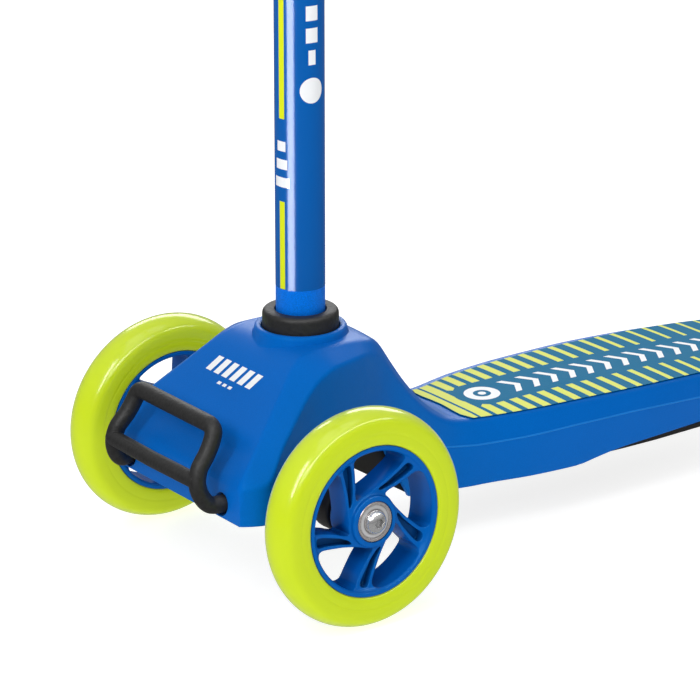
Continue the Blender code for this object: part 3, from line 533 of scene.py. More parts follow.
shell = new_object("hood_and_deck", lofted(along_deck(DECK_FRONT, DECK_REAR), 0))
cut(shell, lofted(along_deck(DECK_FRONT + 3.2, DECK_REAR - 3), 3.0))
arch = rounded([(-43, 10), (-43, 52), (-39, 64), (-26, 80), (-8, 93), (14, 98), (36, 93), (52, 80),
                (62, 62), (73, 43), (80, 31), (86, 10)], [0, 6, 9, 12, 12, 14, 14, 12, 12, 10, 8, 0], 5)
cut(shell, side_slab(arch, -90, 90))
boss = [(-7.6, 0), (-7.6, 28.6), (-5, 27.6), (-2.2, 26.6), (-0.4, 26.2), (0.4, 25.9), (1.2, 25.7),
        (2.4, 25.4), (3.3, 24.9), (3.9, 24.0), (4, 23.2), (3.8, 22.4), (3.4, 21.9), (3.4, 0)]
join(shell, turned(boss, at(0, COL_Y, 132), UP, 96, False))
cut(shell, rod(21.8, at(0, COL_Y, 116), at(0, COL_Y, 142), 92))
cut(shell, side_slab(rounded([(380, 10), (400, 10), (400, 53), (380, 53)], [0, 0, 0, 0]), -22, 22))
for side in (-1, 1):  # the holes for the bail's ends
    cut(shell, rod(6.2, at(44.5 * side, -70, 63.9), at(44.5 * side, -45, 63.9), 40))
dress(shell, "base", BLUE, "deck_shell", angle=46)


def belt_bead(side, name, radius=0.7, sunk=0.42):
    """Fine moulded line along the belt of the deck's side, in a lighter blue that is a painted highlight
    along it.
    """
    found = []
    for y in np.linspace(99, 388, 60):
        z = corners(y)[6]
        _, place, normal, _ = shell.ray_cast(at(90 * side, y, z), Vector((-side, 0, 0)))
        found.append(place - normal * (sunk / 1000))
    radii = [0.1] + [radius] * (len(found) - 2) + [0.1]
    bead = new_object(f"belt_bead_{name}", swept(found, radii, 10))
    dress(bead, "base", BELT_HIGHLIGHT_BLUE, angle=60)


SLOPE_NORMAL = Vector((0, -0.65, 0.76))  # square to the hood's front slope


def laid_on(obj, points, lift=0.12):
    """The points dropped onto obj squarely to the front slope, lifted a little."""
    found = []
    for x, y in points:
        start = at(x, y, crown_at(y)) + SLOPE_NORMAL * 0.02
        hit, place, _, _ = obj.ray_cast(start, -SLOPE_NORMAL)
        found.append((place if hit else start - SLOPE_NORMAL * 0.02) + SLOPE_NORMAL * (lift / 1000))
    return found


def hood_mark(name, x, y, width, height, lean, steps=8):
    """Printed bar on the hood's front slope, leaning over by lean at its top."""
    bm = bmesh.new()
    grid = []
    for k in range(steps + 1):
        across = x + width * k / steps
        grid.append([bm.verts.new(p) for p in laid_on(shell, [(across, y), (across + lean, y + height)])])
    for first, second in zip(grid, grid[1:]):
        bm.faces.new([first[0], first[1], second[1], second[0]])
    face_towards(bm, SLOPE_NORMAL)
    dress(new_object(name, bm, recalc=False), "base", MAT_WHITE)


def crown_at(y):
    return corners(y)[0]


# The grip sheet: rows between the stripes' edges, so that each stripe is its own row of faces
MAT_X = 2.6  # the printed pattern sits a little towards the left
MAT_FRONT = 127.8  # from here the stripes run straight across
BANDS = [(100, MAT_FRONT), (129.8, 136.6), (139.4, 145.2), (149.0, 154.6), (158.6, 164.2), (168.3, 173.6),
         (178.5, 183.8), (189.2, 194.3), (200.0, 204.8), (210.8, 215.4), (222.3, 226.8), (234.1, 238.2),
         (245.9, 249.8), (258.0, 261.7), (270.1, 273.6), (282.3, 285.6), (294.8, 297.9), (307.4, 310.3),
         (320.0, 322.7), (332.8, 335.3), (345.8, 348.1), (359.0, 361.1)]


def mat_edges(y):
    """Right and left edge of the sheet, with round rear corners."""
    ridge = corners(y)[1]
    rear = 7 * (1 - math.sqrt(max(0, 1 - (max(0, y - 378) / 6) ** 2)))
    share = min(1, max(0, (330 - y) / 60))
    return -(ridge - 1.4 - 3.0 * share) + rear, ridge - 0.3 - rear


def mat_front(x):
    """Slightly waved front edge."""
    places = (-28, -26.5, -24, -21, -15, -7, 3, 11, 20, 27, 30, 31.2)
    wave = (127.4, 124.6, 122.6, 121.4, 120.4, 121.5, 122.2, 121.5, 120.2, 120.8, 123.2, 127.4)
    return float(np.interp(x, places, wave))


def mat_top(x, y):
    low, high = mat_edges(max(y, 128))
    share = min(1, abs(2 * (x - low) / (high - low) - 1))
    return crown_at(y) + 1.0 - 0.5 * share ** 5


def make_mat():
    ys = {MAT_FRONT, 384.0, 383.4, 382.6, 381.4, 380.0, 378.0}
    for low, high in BANDS[1:]:
        ys |= {low, high}
    ys |= set(np.arange(130, 378, 4.0))
    ys = sorted(ys)
    bm = bmesh.new()

    def across(y):
        """Places across the sheet: four on each striped side and four in the middle."""
        low, high = mat_edges(y)
        half = 17.0 if y > 138 else (8.0 if y > 128.5 else 0.5)
        skew = 3.4 * max(0, 1 - abs(y - 142) / 4) if y > 138 else 0
        a, b = max(MAT_X - half + skew, low * 0.8), min(MAT_X + half - skew, high * 0.8)
        spans = (low, a), (a, b), (b, high)
        return [start + (end - start) * k / 4 for start, end in spans for k in range(4)] + [high]
    first = across(ys[0])
    rows = [[(x, mat_front(x) + (MAT_FRONT - mat_front(x)) * t) for x in first] for t in (0, 0.3, 0.65)]
    rows += [[(x, y) for x in across(y)] for y in ys]
    grid = [[bm.verts.new(at(x, y, mat_top(x, y))) for x, y in row] for row in rows]
    floor = [[bm.verts.new(at(x, y, crown_at(y) + 0.3)) for x, y in row] for row in rows]
    count = len(first)
    for k in range(len(rows) - 1):
        middle = (rows[k][0][1] + rows[k + 1][0][1]) / 2
        lime = middle < MAT_FRONT or any(low < middle < high for low, high in BANDS)
        for i in range(count - 1):
            face = bm.faces.new([grid[k][i], grid[k][i + 1], grid[k + 1][i + 1], grid[k + 1][i]])
            side = i < 4 or i > 7
            face.material_index = 1 if lime and (side or middle < 137) else 0
            bm.faces.new([floor[k][i], floor[k + 1][i], floor[k + 1][i + 1], floor[k][i + 1]])
        bm.faces.new([floor[k][0], grid[k][0], grid[k + 1][0], floor[k + 1][0]])
        bm.faces.new([grid[k][-1], floor[k][-1], floor[k + 1][-1], grid[k + 1][-1]])
    for k in (0, -1):
        for i in range(count - 1):
            bm.faces.new([grid[k][i], floor[k][i], floor[k][i + 1], grid[k][i + 1]])
    obj = new_object("grip_sheet", bm)
    obj.data.materials.append(TEAL)
    obj.data.materials.append(MAT_LIME)
    dress(obj, "base", None, "deck_grip_mat")


make_mat()
for k in range(6):
    hood_mark(f"hood_bar_{k}", -24 + 7.4 * k, -18.8, 4.8, 7.6, 2.4)
for k in range(3):
    hood_mark(f"hood_dash_{k}", -8 + 5 * k, -22.6, 3, 1.4, 0.4)
for side, name in SIDES:
    belt_bead(side, name)


def decal(name, outlines, material, lift=0.06):
    """Flat printed shapes of (x, y) points on the grip sheet."""
    bm = bmesh.new()
    for outline in outlines:
        bm.faces.new([bm.verts.new(at(x, y, crown_at(y) + 1.0 + lift)) for x, y in outline])
    face_towards(bm, UP)
    dress(new_object(name, bm, recalc=False), "base", material)


def disc(x, y, radius, steps=48):
    return [(x + radius * math.cos(2 * math.pi * i / steps), y + radius * math.sin(2 * math.pi * i / steps))
            for i in range(steps)]


for name, radius, material, lift in (("teal_disc", 16.6, TEAL, 0.03), ("white_disc", 10.5, MAT_WHITE, 0.06),
                                     ("teal_dot", 5.2, TEAL, 0.09), ("white_dot", 2.4, MAT_WHITE, 0.12)):
    decal(f"mat_{name}", [disc(MAT_X, 152.4, radius)], material, lift)
for k in range(15):
    y = 170 + 13.4 * k
    halves = [[(MAT_X + 9.5 * side, y), (MAT_X, y + 6), (MAT_X, y + 10.2), (MAT_X + 9.5 * side, y + 4.2)]
              for side in (-1, 1)]
    decal(f"mat_chevron_{k}", halves, MAT_WHITE)

# ---------------- column

column = at(0, COL_Y, 0)
tube = [(92, COL_BORE), (92, COL_R), (134.2, COL_R), (134.4, COL_R + 1.2), (136.4, COL_R + 1.3),
        (137, COL_R + 0.9), (137.2, COL_R), (469.4, COL_R), (470, COL_R - 0.6), (470, COL_BORE)]
tube = lathe("column", tube, column, UP)
cut(tube, box((-5.6, 5, 95.4), (5.6, 24, 100)))
dress(tube, "base", BRIGHT, "column_tube")
film = [(158.4, COL_R), (158.4, FILM_R), (444, FILM_R), (444, COL_R)]
dress(lathe("column_film", film, column, UP), "base", FILM)

FACING = math.atan2(CAMERA_AT.y - column.y, CAMERA_AT.x)  # the direction of the film's front


def on_film(angle, z, radius=PRINT_R):
    return column + Vector((math.cos(angle) * radius, math.sin(angle) * radius, z)) / 1000


def film_patch(name, low, high, middle, width, material, steps=10):
    """A printed band on the film, from its middle angle and width in degrees, left positive."""
    bm = bmesh.new()
    lines = []
    for k in range(steps + 1):
        a = FACING + math.radians(middle) - math.radians(width) * (k / steps - 0.5)
        lines.append([bm.verts.new(on_film(a, z)) for z in (low, high)])
    for a, b in zip(lines, lines[1:]):
        bm.faces.new([a[0], b[0], b[1], a[1]])
    face_towards(bm, Vector((math.cos(FACING), math.sin(FACING), 0)))
    dress(new_object(name, bm, recalc=False), "base", material)


film_patch("film_stripe_low", 158.6, 208, -45, 16, FILM_LIME)
film_patch("film_stripe_high", 254, 440, -45, 16, FILM_LIME)
for k, z in enumerate((216, 226, 236)):
    film_patch(f"film_dash_{k}", z, z + 5.5, -47, 44 - 9 * k, FILM_WHITE)
for k in range(13):
    film_patch(f"film_bar_{k}", 284 + 12 * k, 284 + 12 * k + 8, 30, 30 if k % 3 else 18, FILM_WHITE)


def film_disc(middle, z, radius, lift=0.13, steps=40):
    """A printed disc on the film, bent round the column."""
    bm = bmesh.new()
    circle = [2 * math.pi * k / steps for k in range(steps)]
    spot = [(FACING + math.radians(middle) + radius / (COL_R + lift) * math.cos(a), z + radius * math.sin(a))
            for a in circle]
    bm.faces.new([bm.verts.new(on_film(a, height, COL_R + lift)) for a, height in spot])
    bmesh.ops.triangulate(bm, faces=bm.faces)
    bmesh.ops.subdivide_edges(bm, edges=bm.edges, cuts=3)
    for v in bm.verts:
        out = v.co - column
        v.co = on_film(math.atan2(out.y, out.x), v.co.z * 1000, COL_R + lift)
    dress(new_object("film_disc", bm), "base", FILM_WHITE)


film_disc(30, 270, 7)

ring = [(127.8, COL_R + 0.5), (127.8, 21), (144.9, 21), (144.9, COL_R + 0.5)]
ring = rounded(ring, [0.4, 0.6, 5.6, 1.2], 8)
dress(lathe("collar", ring, column, UP), "base", DARK, "column_collar")

# ---------------- bail

LEG = ((45, -46.5, 65.5), (45, -50.5, 64.9), (44.8, -55.5, 64.3), (43.2, -62.2, 64.6), (41.8, -66.6, 69.6),
       (40.6, -68.4, 77), (39.7, -66.4, 84.5), (38.6, -60.8, 91.4), (37.8, -57.0, 97.6), (36.6, -55.0, 102.4),
       (33.4, -54.5, 104.6), (29, -54.4, 105), (15, -54.4, 105), (0, -54.4, 105))
left = [at(*p) for p in LEG]
path = left + [Vector((-p.x, p.y, p.z)) for p in left[-2::-1]]
bail = new_object("bail", swept(through(path, 8), 4.75, 28))
join(bail, swept([at(-40.4, -69.0, 79), at(-38, -69.8, 79), at(0, -70.55, 79), at(38, -69.8, 79),
                  at(40.4, -69.0, 79)], 4.4, 28))
join(bail, rod(3, at(-49, -48, 66), at(49, -48, 66), 28))
finger = [(-50.5, 66), (-46, 63.4), (-20, 84), (-17.7, 88), (-17.7, 95.6), (-20.4, 95.6), (-20.4, 89.4),
          (-24, 87), (-49.5, 68.5)]
join(bail, side_slab(finger, 13.2, 16), side_slab(finger, -16, -13.2))
dress(bail, "bail", DARK, "release_bail", angle=50)
# painted shade: black plates behind the bail's holes stand in for the dark inside of the hood
for side, name in SIDES:
    low, high = sorted((38 * side, 51.5 * side))
    hole_shade = new_object(f"bail_pocket_{name}", box((low, -43.6, 57.4), (high, -42.2, 73)))
    join(hole_shade, box((low, -53, 57.4), (high, -42.2, 58.2)))
    dress(hole_shade, "base", BLACK, angle=40)

# ---------------- front wheels


def tyre_outline(radius, rim, half):
    """Round crown, soft shoulders and a side wall with a fine moulded line."""
    crown = 15.0
    one = [(crown * math.sin(a), radius - crown * (1 - math.cos(a)))
           for a in np.radians(np.linspace(0, 34, 9))]
    a, b = np.array(one[-1]), np.array((half - 0.25, radius - 8.2))
    corner = np.array((half - 0.4, radius - 4.4))
    one += bend(a, corner, b, np.linspace(0.12, 1, 8))
    line = radius - 12.2
    one += [(half, radius - 10.4), (half, line + 0.7), (half - 0.14, line + 0.25), (half - 0.14, line - 0.25),
            (half - 0.04, line - 0.7), (half - 0.4, rim + 2.0), (half - 0.8, rim + 0.5), (half - 1.3, rim)]
    return [(-p, r) for p, r in one[:0:-1]] + one


def spoke_angle(radius):
    return math.radians(43.5 + 21.0 * ((38 - radius) / 22) ** 2 + 9 * (max(0, 23 - radius) / 7) ** 2)


def polar(radius, angle):
    return (radius * math.cos(angle), radius * math.sin(angle))


def spoke_side(radii, widths, turn, sign):
    """Points up one side of a spoke."""
    return [polar(r, spoke_angle(r) + turn + sign * h / r) for r, h in zip(radii, widths)]


def eased(curves, steps=5):
    """One closed outline from curves whose ends are joined by soft corners.

    Each entry is (points, corner), the corner being the sharp point that follows the curve."""
    found = []
    for (points, corner), (after, _) in zip(curves, curves[1:] + curves[:1]):
        found += points
        ends = (np.array(p) for p in (points[-1], corner, after[0]))
        found += bend(*ends, [k / steps for k in range(1, steps)])
    return found


def spoke_half(radius):
    return float(np.interp(radius, (14, 17, 20, 26, 34, 38), (4.6, 4.0, 3.9, 4.3, 4.9, 5.4)))


def window(turn):
    """Opening between two spokes, with soft corners."""
    low, high, inner, outer = 20.4, 34.0, 15.2, 38.4
    gap = 2 * math.pi / 5

    def edge(r, sign):
        return spoke_angle(r) + sign * spoke_half(r) / r
    climb = np.linspace(low, high, 10)
    up = [polar(r, turn + edge(r, 1)) for r in climb]
    down = [polar(r, turn + gap + edge(r, -1)) for r in climb[::-1]]
    a0, a1 = turn + edge(outer, 1), turn + gap + edge(outer, -1)
    b0, b1 = turn + gap + edge(inner, -1), turn + edge(inner, 1)
    over = [polar(outer, a) for a in np.linspace(a0 + 0.13, a1 - 0.11, 9)]
    under = [polar(inner, a) for a in np.linspace(b0 - 0.22, b1 + 0.26, 4)]
    return eased([(up, polar(outer, a0)), (over, polar(outer, a1)),
                  (down, polar(inner, b0)), (under, polar(inner, b1))])


def slot(turn):
    """Pocket along the middle of a spoke, with round ends."""
    radii = np.linspace(18.4, 34.6, 10)
    widths = np.interp(radii, (18, 26, 35), (1.75, 2.3, 2.9))
    up = spoke_side(radii, widths, turn, 1)
    down = spoke_side(radii[::-1], widths[::-1], turn, -1)
    far, near = spoke_angle(37.2) + turn, spoke_angle(16.8) + turn
    over = [polar(36.7, far + 0.5 / 37), polar(36.7, far - 0.5 / 37)]
    under = [polar(16.7, near - 0.2 / 17), polar(16.7, near + 0.2 / 17)]
    return eased([(up, polar(36.7, far + 2.7 / 37)), (over, polar(36.7, far - 2.7 / 37)),
                  (down, polar(16.7, near - 1.6 / 17)), (under, polar(16.7, near + 1.6 / 17))], 4)


def hub_mesh(name):
    """Five-spoke hub about the X axis, outer face towards +X. Each spoke has a slot in both faces."""
    half = 10.8
    origin = Vector()

    def place(a, b, depth):
        return Vector((depth, a, b)) / 1000
    profile = [(-half, 0), (-half, 13.4), (-half + 0.5, 14.0), (-8.6, 14.2), (-7.9, 14.9), (-7.5, 16.4),
               (-7.4, 19), (-7.4, 33), (-7.9, 36.0), (-9.0, 37.9), (-10.0, 38.7), (-half + 0.3, 39.0),
               (-half, 39.4), (-half, R_RIM - 0.3), (-half + 0.4, R_RIM)]
    profile += [(-a, r) for a, r in profile[::-1]]
    hub = lathe(name, profile, origin, ACROSS, 160, False)
    turns = [2 * math.pi * i / 5 for i in range(5)]
    for turn in turns:
        cut(hub, slab(window(turn), -12, 12, place))
    for turn in turns:
        cut(hub, slab(slot(turn), 3.2, 12, place), slab(slot(turn), -12, -3.2, place))
    seat = [(-half - 2, 0), (-half - 2, 11.3), (-3.5, 11.3), (-3.5, 9), (3.5, 9), (3.5, 11.3),
            (half + 2, 11.3), (half + 2, 0)]
    cut(hub, turned(seat, origin, ACROSS, 96, False))
    bevel(hub, 0.85, 50, 3)
    return hub


def bearing(name, centre, direction, body, replaces):
    """Ball bearing seen from outside: two races, a sunk shield and thin gaps between them."""
    profile = [(-3.5, 4.3), (-3.5, 6.3), (-3.1, 6.4), (-3.1, 9.2), (-3.5, 9.4), (-3.5, 10.7), (-3.2, 11.0),
               (3.2, 11.0), (3.5, 10.7), (3.5, 9.5), (3.1, 9.35), (3.1, 9.15), (2.7, 9.1), (2.85, 8.8),
               (3.05, 7.4), (2.85, 6.7), (2.7, 6.5), (3.5, 6.25), (3.5, 4.3)]
    obj = lathe(name, profile, centre, direction)
    obj.data.materials.append(RACE)
    obj.data.materials.append(SEAL)
    w = Vector(direction).normalized()
    for poly in obj.data.polygons:
        p = poly.center - centre
        reach = (p - w * p.dot(w)).length * 1000
        poly.material_index = 1 if 6.45 < reach < 9.15 else 0
    dress(obj, body, None, replaces, angle=30)


def button_bolt(name, head, direction, length, body, replaces):
    """Button-head bolt with a hex socket; head is the place of the head's seat."""
    dome = [(3.7 * math.cos(a) ** 0.8 + 0.2, 6.2 * math.sin(a)) for a in np.radians((18, 36, 54, 70, 82, 89))]
    profile = [(3.9, 0)] + dome + [(0.3, 6.5), (0, 6.3), (0, 4), (-length + 0.6, 4), (-length, 3.4),
                                   (-length, 0)]
    obj = lathe(name, profile, head, direction, 72, False)
    cut(obj, rod(2.9, head + direction * 0.0016, head + direction * 0.006, 6))
    dress(obj, body, STEEL, replaces, angle=28)


def wheel_place(side):
    """A front wheel's centre and its cambered axis."""
    return at(WHEEL_X * side, 0, R_FRONT), Vector((math.cos(CAMBER) * side, 0, math.sin(CAMBER)))


def wheel(name, side):
    body = f"{name}_wheel"
    centre, out = wheel_place(side)
    tyre = lathe(f"{name}_tyre_cast", tyre_outline(R_FRONT, R_RIM + 0.3, 11.8), centre, out, 160)
    dress(tyre, body, LIME, f"{name}_tyre", angle=60)
    hub = hub_mesh(f"{name}_hub_spoked")
    turn = Matrix.Rotation(-CAMBER, 4, "Y")
    if side < 0:
        turn = Matrix.Rotation(math.pi, 4, "Z") @ turn
    hub.data.transform(Matrix.Translation(centre) @ turn)
    dress(hub, body, HUB, f"{name}_hub", angle=32)
    seat = 7.15 / 1000
    bearing(f"{name}_outer_bearing", centre + out * seat, out, body, f"{name}_bearing_outer")
    bearing(f"{name}_inner_bearing", centre - out * seat, -out, body, f"{name}_bearing_inner")
    button_bolt(f"{name}_bolt", centre + out * 0.011, out, 49, "truck", f"{name}_axle_bolt")


wheel("front_left", 1)
wheel("front_right", -1)

# ---------------- truck and tray


def pivot(x, along, above):
    """A point x across, then so far forward along the steering pivot and above it."""
    forward = Vector((0, -math.cos(SLOPE), math.sin(SLOPE)))
    raised = Vector((0, math.sin(SLOPE), math.cos(SLOPE)))
    return at(x, 0, 66.8) + forward * (along / 1000) + raised * (above / 1000)


STEER = (pivot(0, 1, 0) - pivot(0, 0, 0)).normalized()

for node, material in (("truck_base", BLACK), ("underside_tray", BLACK), ("release_latch", GROUND),
                       ("front_left_bearing_spacer", GROUND), ("front_right_bearing_spacer", GROUND),
                       ("rear_bearing_spacer", GROUND)):
    paint(node, material)
for node, width in (("truck_base", 0.8), ("release_latch", 0.4), ("underside_tray", 0.6)):
    soften(frame["nodes"][node], width)

beam = rounded([(-71, 0), (-71, 10.5), (-50, 9.2), (0, 10.6), (50, 9.2), (71, 10.5), (71, 0)],
               [0, 0.5, 20, 30, 20, 0.5, 0], 6)
hanger = lathe("axle_beam", beam, at(0, 0, 58.9), ACROSS, 48, False)
sleeve = rounded([(-34.9, 4.5), (-34.9, 11.4), (12.9, 11.4), (12.9, 4.5)], [0.3, 1.2, 1.2, 0.3], 3)
join(hanger, turned(sleeve, pivot(0, 0, 0), STEER, 56))
for side in (-1, 1):
    centre, out = wheel_place(side)
    end = rounded([(-31, 0), (-31, 11), (-28, 13.2), (-14.6, 13.2), (-14.6, 6.2), (-11.1, 5.8), (-11.1, 0)],
                  [0, 0.6, 1.6, 1.6, 0.8, 0.5, 0], 3)
    join(hanger, turned(end, centre, out, 52, False))
    join(hanger, rod(8, pivot(22 * side, -3.6, -9), pivot(22 * side, -3.6, 3), 44))
    cut(hanger, rod(4.3, centre - out * 0.041, centre, 36))
    for k in (-1, 1):
        join(hanger, side_slab([(-9.5, 58), (-9.5, 62), (9.5, 62), (9.5, 58)], 36 * side + k * 6 - 1.2,
                               36 * side + k * 6 + 1.2))
cut(hanger, rod(4.5, pivot(0, -60, 0), pivot(0, 40, 0), 40))
dress(hanger, "truck", BLACK, "truck_hanger", angle=34)

head = rounded([(0, 0), (0, 5), (2, 7.2), (6.5, 7.2), (6.5, 4), (80, 4), (80, 0)],
               [0, 0.8, 1.4, 0.4, 0.3, 0.8, 0], 3)
bolt = lathe("pivot_screw", head, pivot(0, -52, 0), STEER, 64, False)
cut(bolt, rod(3.1, pivot(0, -53, 0), pivot(0, -49, 0), 6))
dress(bolt, "base", STEEL, "pivot_bolt", angle=28)


def hex_nut(name, centre, direction, corner, half, bore, replaces):
    """Hexagon nut with its corners turned off at both faces; corner is their distance from the axis."""
    nut = lathe(name, [(-half, 0), (-half, corner), (half, corner), (half, 0)], centre, direction, 6, False)
    cone = [(-half - 1, 0), (-half - 1, corner * 0.72), (-half * 0.3, corner * 1.12),
            (half * 0.3, corner * 1.12), (half + 1, corner * 0.72), (half + 1, 0)]
    carve(nut, "INTERSECT", turned(cone, centre, direction, 48, False))
    hole = [(-half - 1, 0), (-half - 1, bore + 1.0), (-half + 0.7, bore), (half - 0.7, bore),
            (half + 1, bore + 1.0), (half + 1, 0)]
    cut(nut, turned(hole, centre, direction, 40, False))
    dress(nut, "base", STEEL, replaces, angle=30)


hex_nut("pivot_hex_nut", pivot(0, 25.7, 0), STEER, 7.4, 2.8, 5.0, "pivot_nut")

for side, name in SIDES:
    low, high = pivot(22 * side, -3.6, 4.2), pivot(22 * side, -3.6, 13.6)
    ribs = [(0, 0), (0, 5.2), (0.5, 5.7)]
    for k in range(3):
        ribs += [(1.5 + 2.4 * k, 6.0), (2.4 + 2.4 * k, 5.9), (2.7 + 2.4 * k, 5.3), (3.0 + 2.4 * k, 5.3)]
    ribs += [(8.9, 5.8), (9.4, 5.3), (9.4, 0)]
    barrel = lathe(f"centring_block_{name}", ribs, low, high - low, 48, False)
    dress(barrel, "base", ELASTOMER, f"centring_spring_{name}", angle=40)
    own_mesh(barrel)

for number, (x, y) in enumerate(((-24, 130), (24, 130), (-30, 330), (30, 330)), 1):
    low = 31 + max(0, y - 290) * 0.03
    start = at(x, y, low - 2.5)
    outline = rounded([(0, 0), (0, 2.2), (0.9, 3.9), (2.2, 3.9), (2.2, 1.9), (12, 1.9), (12, 0)],
                      [0, 0.6, 0.9, 0.2, 0.2, 0.6, 0], 3)
    screw = lathe(f"cross_screw_{number}", outline, start, UP, 40, False)
    cut(screw, box((x - 2.1, y - 0.45, low - 3.4), (x + 2.1, y + 0.45, low - 1.2)),
        box((x - 0.45, y - 2.1, low - 3.4), (x + 0.45, y + 2.1, low - 1.2)))
    dress(screw, "base", STEEL, f"tray_screw_{number}", angle=30)

# ---------------- rear wheel and brake

REAR = at(0, REAR_Y, R_REAR)
tyre = lathe("rear_tyre_cast", tyre_outline(R_REAR, 26, 12), REAR, ACROSS, 128)
dress(tyre, "rear_wheel", LIME, "rear_tyre", angle=60)
face = rounded([(-11, 11.3), (-11, 14), (-3.6, 15.2), (-3.2, 22), (-11, 23), (-11, 25.7), (11, 25.7),
                (11, 23), (3.2, 22), (3.6, 15.2), (11, 14), (11, 11.3), (4.7, 11.3), (4.7, 9), (-4.7, 9),
                (-4.7, 11.3)],
               [0.3, 0.8, 1.6, 1.6, 0.8, 0.3, 0.3, 0.8, 1.6, 1.6, 0.8, 0.3, 0, 0.3, 0.3, 0], 3)
rear_hub = lathe("rear_hub_cast", face, REAR, ACROSS, 112)
for k in range(5):
    a = 2 * math.pi * (k + 0.25) / 5
    spot = REAR + Vector((0, math.cos(a), math.sin(a))) * 0.0185
    cut(rear_hub, rod(2.7, spot - ACROSS * 0.009, spot + ACROSS * 0.009, 28))
dress(rear_hub, "rear_wheel", HUB, "rear_hub", angle=34)
bearing("rear_bearing_1", REAR + ACROSS * 0.00835, ACROSS, "rear_wheel", "rear_bearing_left")
bearing("rear_bearing_2", REAR - ACROSS * 0.00835, -ACROSS, "rear_wheel", "rear_bearing_right")
button_bolt("rear_bolt", REAR + ACROSS * 0.0204, ACROSS, 46.5, "base", "rear_axle_bolt")
hex_nut("rear_hex_nut", REAR - ACROSS * 0.0232, ACROSS, 7.2, 2.6, 5.0, "rear_axle_nut")

arm = rounded([(352, 37.4), (352, 47), (389, 49), (393, 52), (393.2, 64.5), (396, 67.8), (401, 67.8),
               (404.6, 63), (410, 56), (432, 51), (444, 49), (450, 42), (448, 34), (440, 29), (428, 30),
               (396, 37.4)], [0.5, 1, 3, 3, 2, 2, 2, 3, 5, 8, 5, 5, 5, 6, 6, 5], 4)
fork = new_object("fork_plate", box((-20, 352, 37.4), (20, 390, 42.4)))
join(fork, side_slab(arm, 15.6, 20), side_slab(arm, -20, -15.6))
for side in (-1, 1):
    seat = rounded([(10.9, 0), (10.9, 6.2), (12.5, 7), (17, 7), (17, 0)], [0, 0.4, 0.8, 0, 0], 3)
    join(fork, turned(seat, REAR, ACROSS * side, 48, False))
    ring = rounded([(19.5, 8.4), (20.2, 9.6), (20.2, 11.4), (19.5, 12.6)], [0.2, 0.3, 0.3, 0.2], 2)
    join(fork, turned(ring, REAR, ACROSS * side, 48))
cut(fork, rod(4.3, REAR - ACROSS * 0.03, REAR + ACROSS * 0.03, 40),
    rod(2.8, at(-30, HINGE_Y, HINGE_Z), at(30, HINGE_Y, HINGE_Z), 32))
for x in (-10, 10):
    cut(fork, rod(2.2, at(x, 364, 30), at(x, 364, 50), 24))
bevel(fork, 0.5, 50)
dress(fork, "base", BLACK, "rear_fork", angle=34)

# The brake plate follows the tyre and ends in a flat pad that slopes down to the rear
PAD = math.radians(60)
PAD_TOP, PAD_BOTTOM, PAD_REAR = 46.2, 43.4, 46.3


def pad_height(reach, behind):
    """Height of a face of the pad, whose reach is its distance from the wheel's axis."""
    return R_REAR + (reach - behind * math.cos(PAD)) / math.sin(PAD)


def plate_arc(radius):
    return [(REAR_Y + radius * math.cos(a), R_REAR + radius * math.sin(a))
            for a in np.radians(np.linspace(126, 80, 14))]


top, low = plate_arc(49), plate_arc(46.2)
outline = [(394.2, 64.5), (395.0, 66.2), (396.4, 67.8), (400, 71.4)] + top
outline += [(REAR_Y + PAD_REAR, pad_height(reach, PAD_REAR)) for reach in (PAD_TOP, PAD_BOTTOM)]
outline += low[::-1] + [(406.5, 69.5), (404.4, 67.0), (403.4, 64.6), (402.9, 62.0), (401.6, 60.0),
                        (399.6, 58.8), (397.4, 58.8), (395.4, 60.0), (394.3, 62.0)]
fender = new_object("brake_plate", side_slab(outline, -14.4, 14.4))
cut(fender, rod(2.9, at(-20, HINGE_Y, HINGE_Z), at(20, HINGE_Y, HINGE_Z), 36),
    box((-6.5, 380, 50), (6.5, 404.4, 68)))
for k in range(5):
    behind = 19 + 4.6 * k
    ridge = [at(x, REAR_Y + behind, pad_height(PAD_TOP, behind)) for x in (-10.5, -9.5, 9.5, 10.5)]
    join(fender, swept(ridge, [0.5, 0.85, 0.85, 0.5], 12))
bevel(fender, 0.5, 50)
dress(fender, "brake", DARK, "brake_fender", angle=34)

PIN = at(0, HINGE_Y, HINGE_Z)
outline = rounded([(-22, 0), (-22, 2.5), (21, 2.5), (21, 4.2), (22.6, 4.2), (22.6, 0)],
                  [0, 0.6, 0, 0.4, 0.9, 0], 3)
dress(lathe("hinge_rivet", outline, PIN, ACROSS, 40, False), "base", STEEL, "brake_hinge_pin", angle=30)
TURNS, PER_TURN = 6, 16
coil = []
for k in range(TURNS * PER_TURN + 1):
    y, z = polar(3.5, 2 * math.pi * k / PER_TURN)
    coil.append(PIN + Vector((-5.4 + 10.8 * k / (TURNS * PER_TURN), y, z)) / 1000)
dress(new_object("return_coil", swept(coil, 0.62, 10)), "base", GROUND, "brake_spring", angle=60)

# ---------------- clamp, handlebar and grips

sleeve = [(446, COL_R + 0.45), (446, 16.2), (446.6, 17.4), (448, 18.6), (449.4, 19)]
for z in (452.5, 456, 459.5, 463):
    sleeve += [(z - 0.7, 19), (z - 0.3, 18.4), (z + 0.3, 18.4), (z + 0.7, 19)]
sleeve += [(489.4, 19), (491, 18.3), (491.8, 17.4), (492, 16.6), (492, 12.3), (491.4, 11.7), (470.6, 11.7),
           (470.6, COL_R + 0.45)]
clamp = lathe("clamp_sleeve", sleeve, column, UP)
ear = rounded([(14, 472), (14, 488), (-1, 488), (-5, 484), (-5, 476), (-1, 472)], [0, 0, 3, 3, 3, 3], 4)
join(clamp, side_slab(ear, -9, 9))
cut(clamp, box((-1.5, -20, 471), (1.5, 17, 500)), rod(11.9, at(0, COL_Y, 471.2), at(0, COL_Y, 500), 80),
    rod(3.4, at(-20, CLAMP_Y, CLAMP_Z), at(20, CLAMP_Y, CLAMP_Z), 36))
bevel(clamp, 0.45, 72)
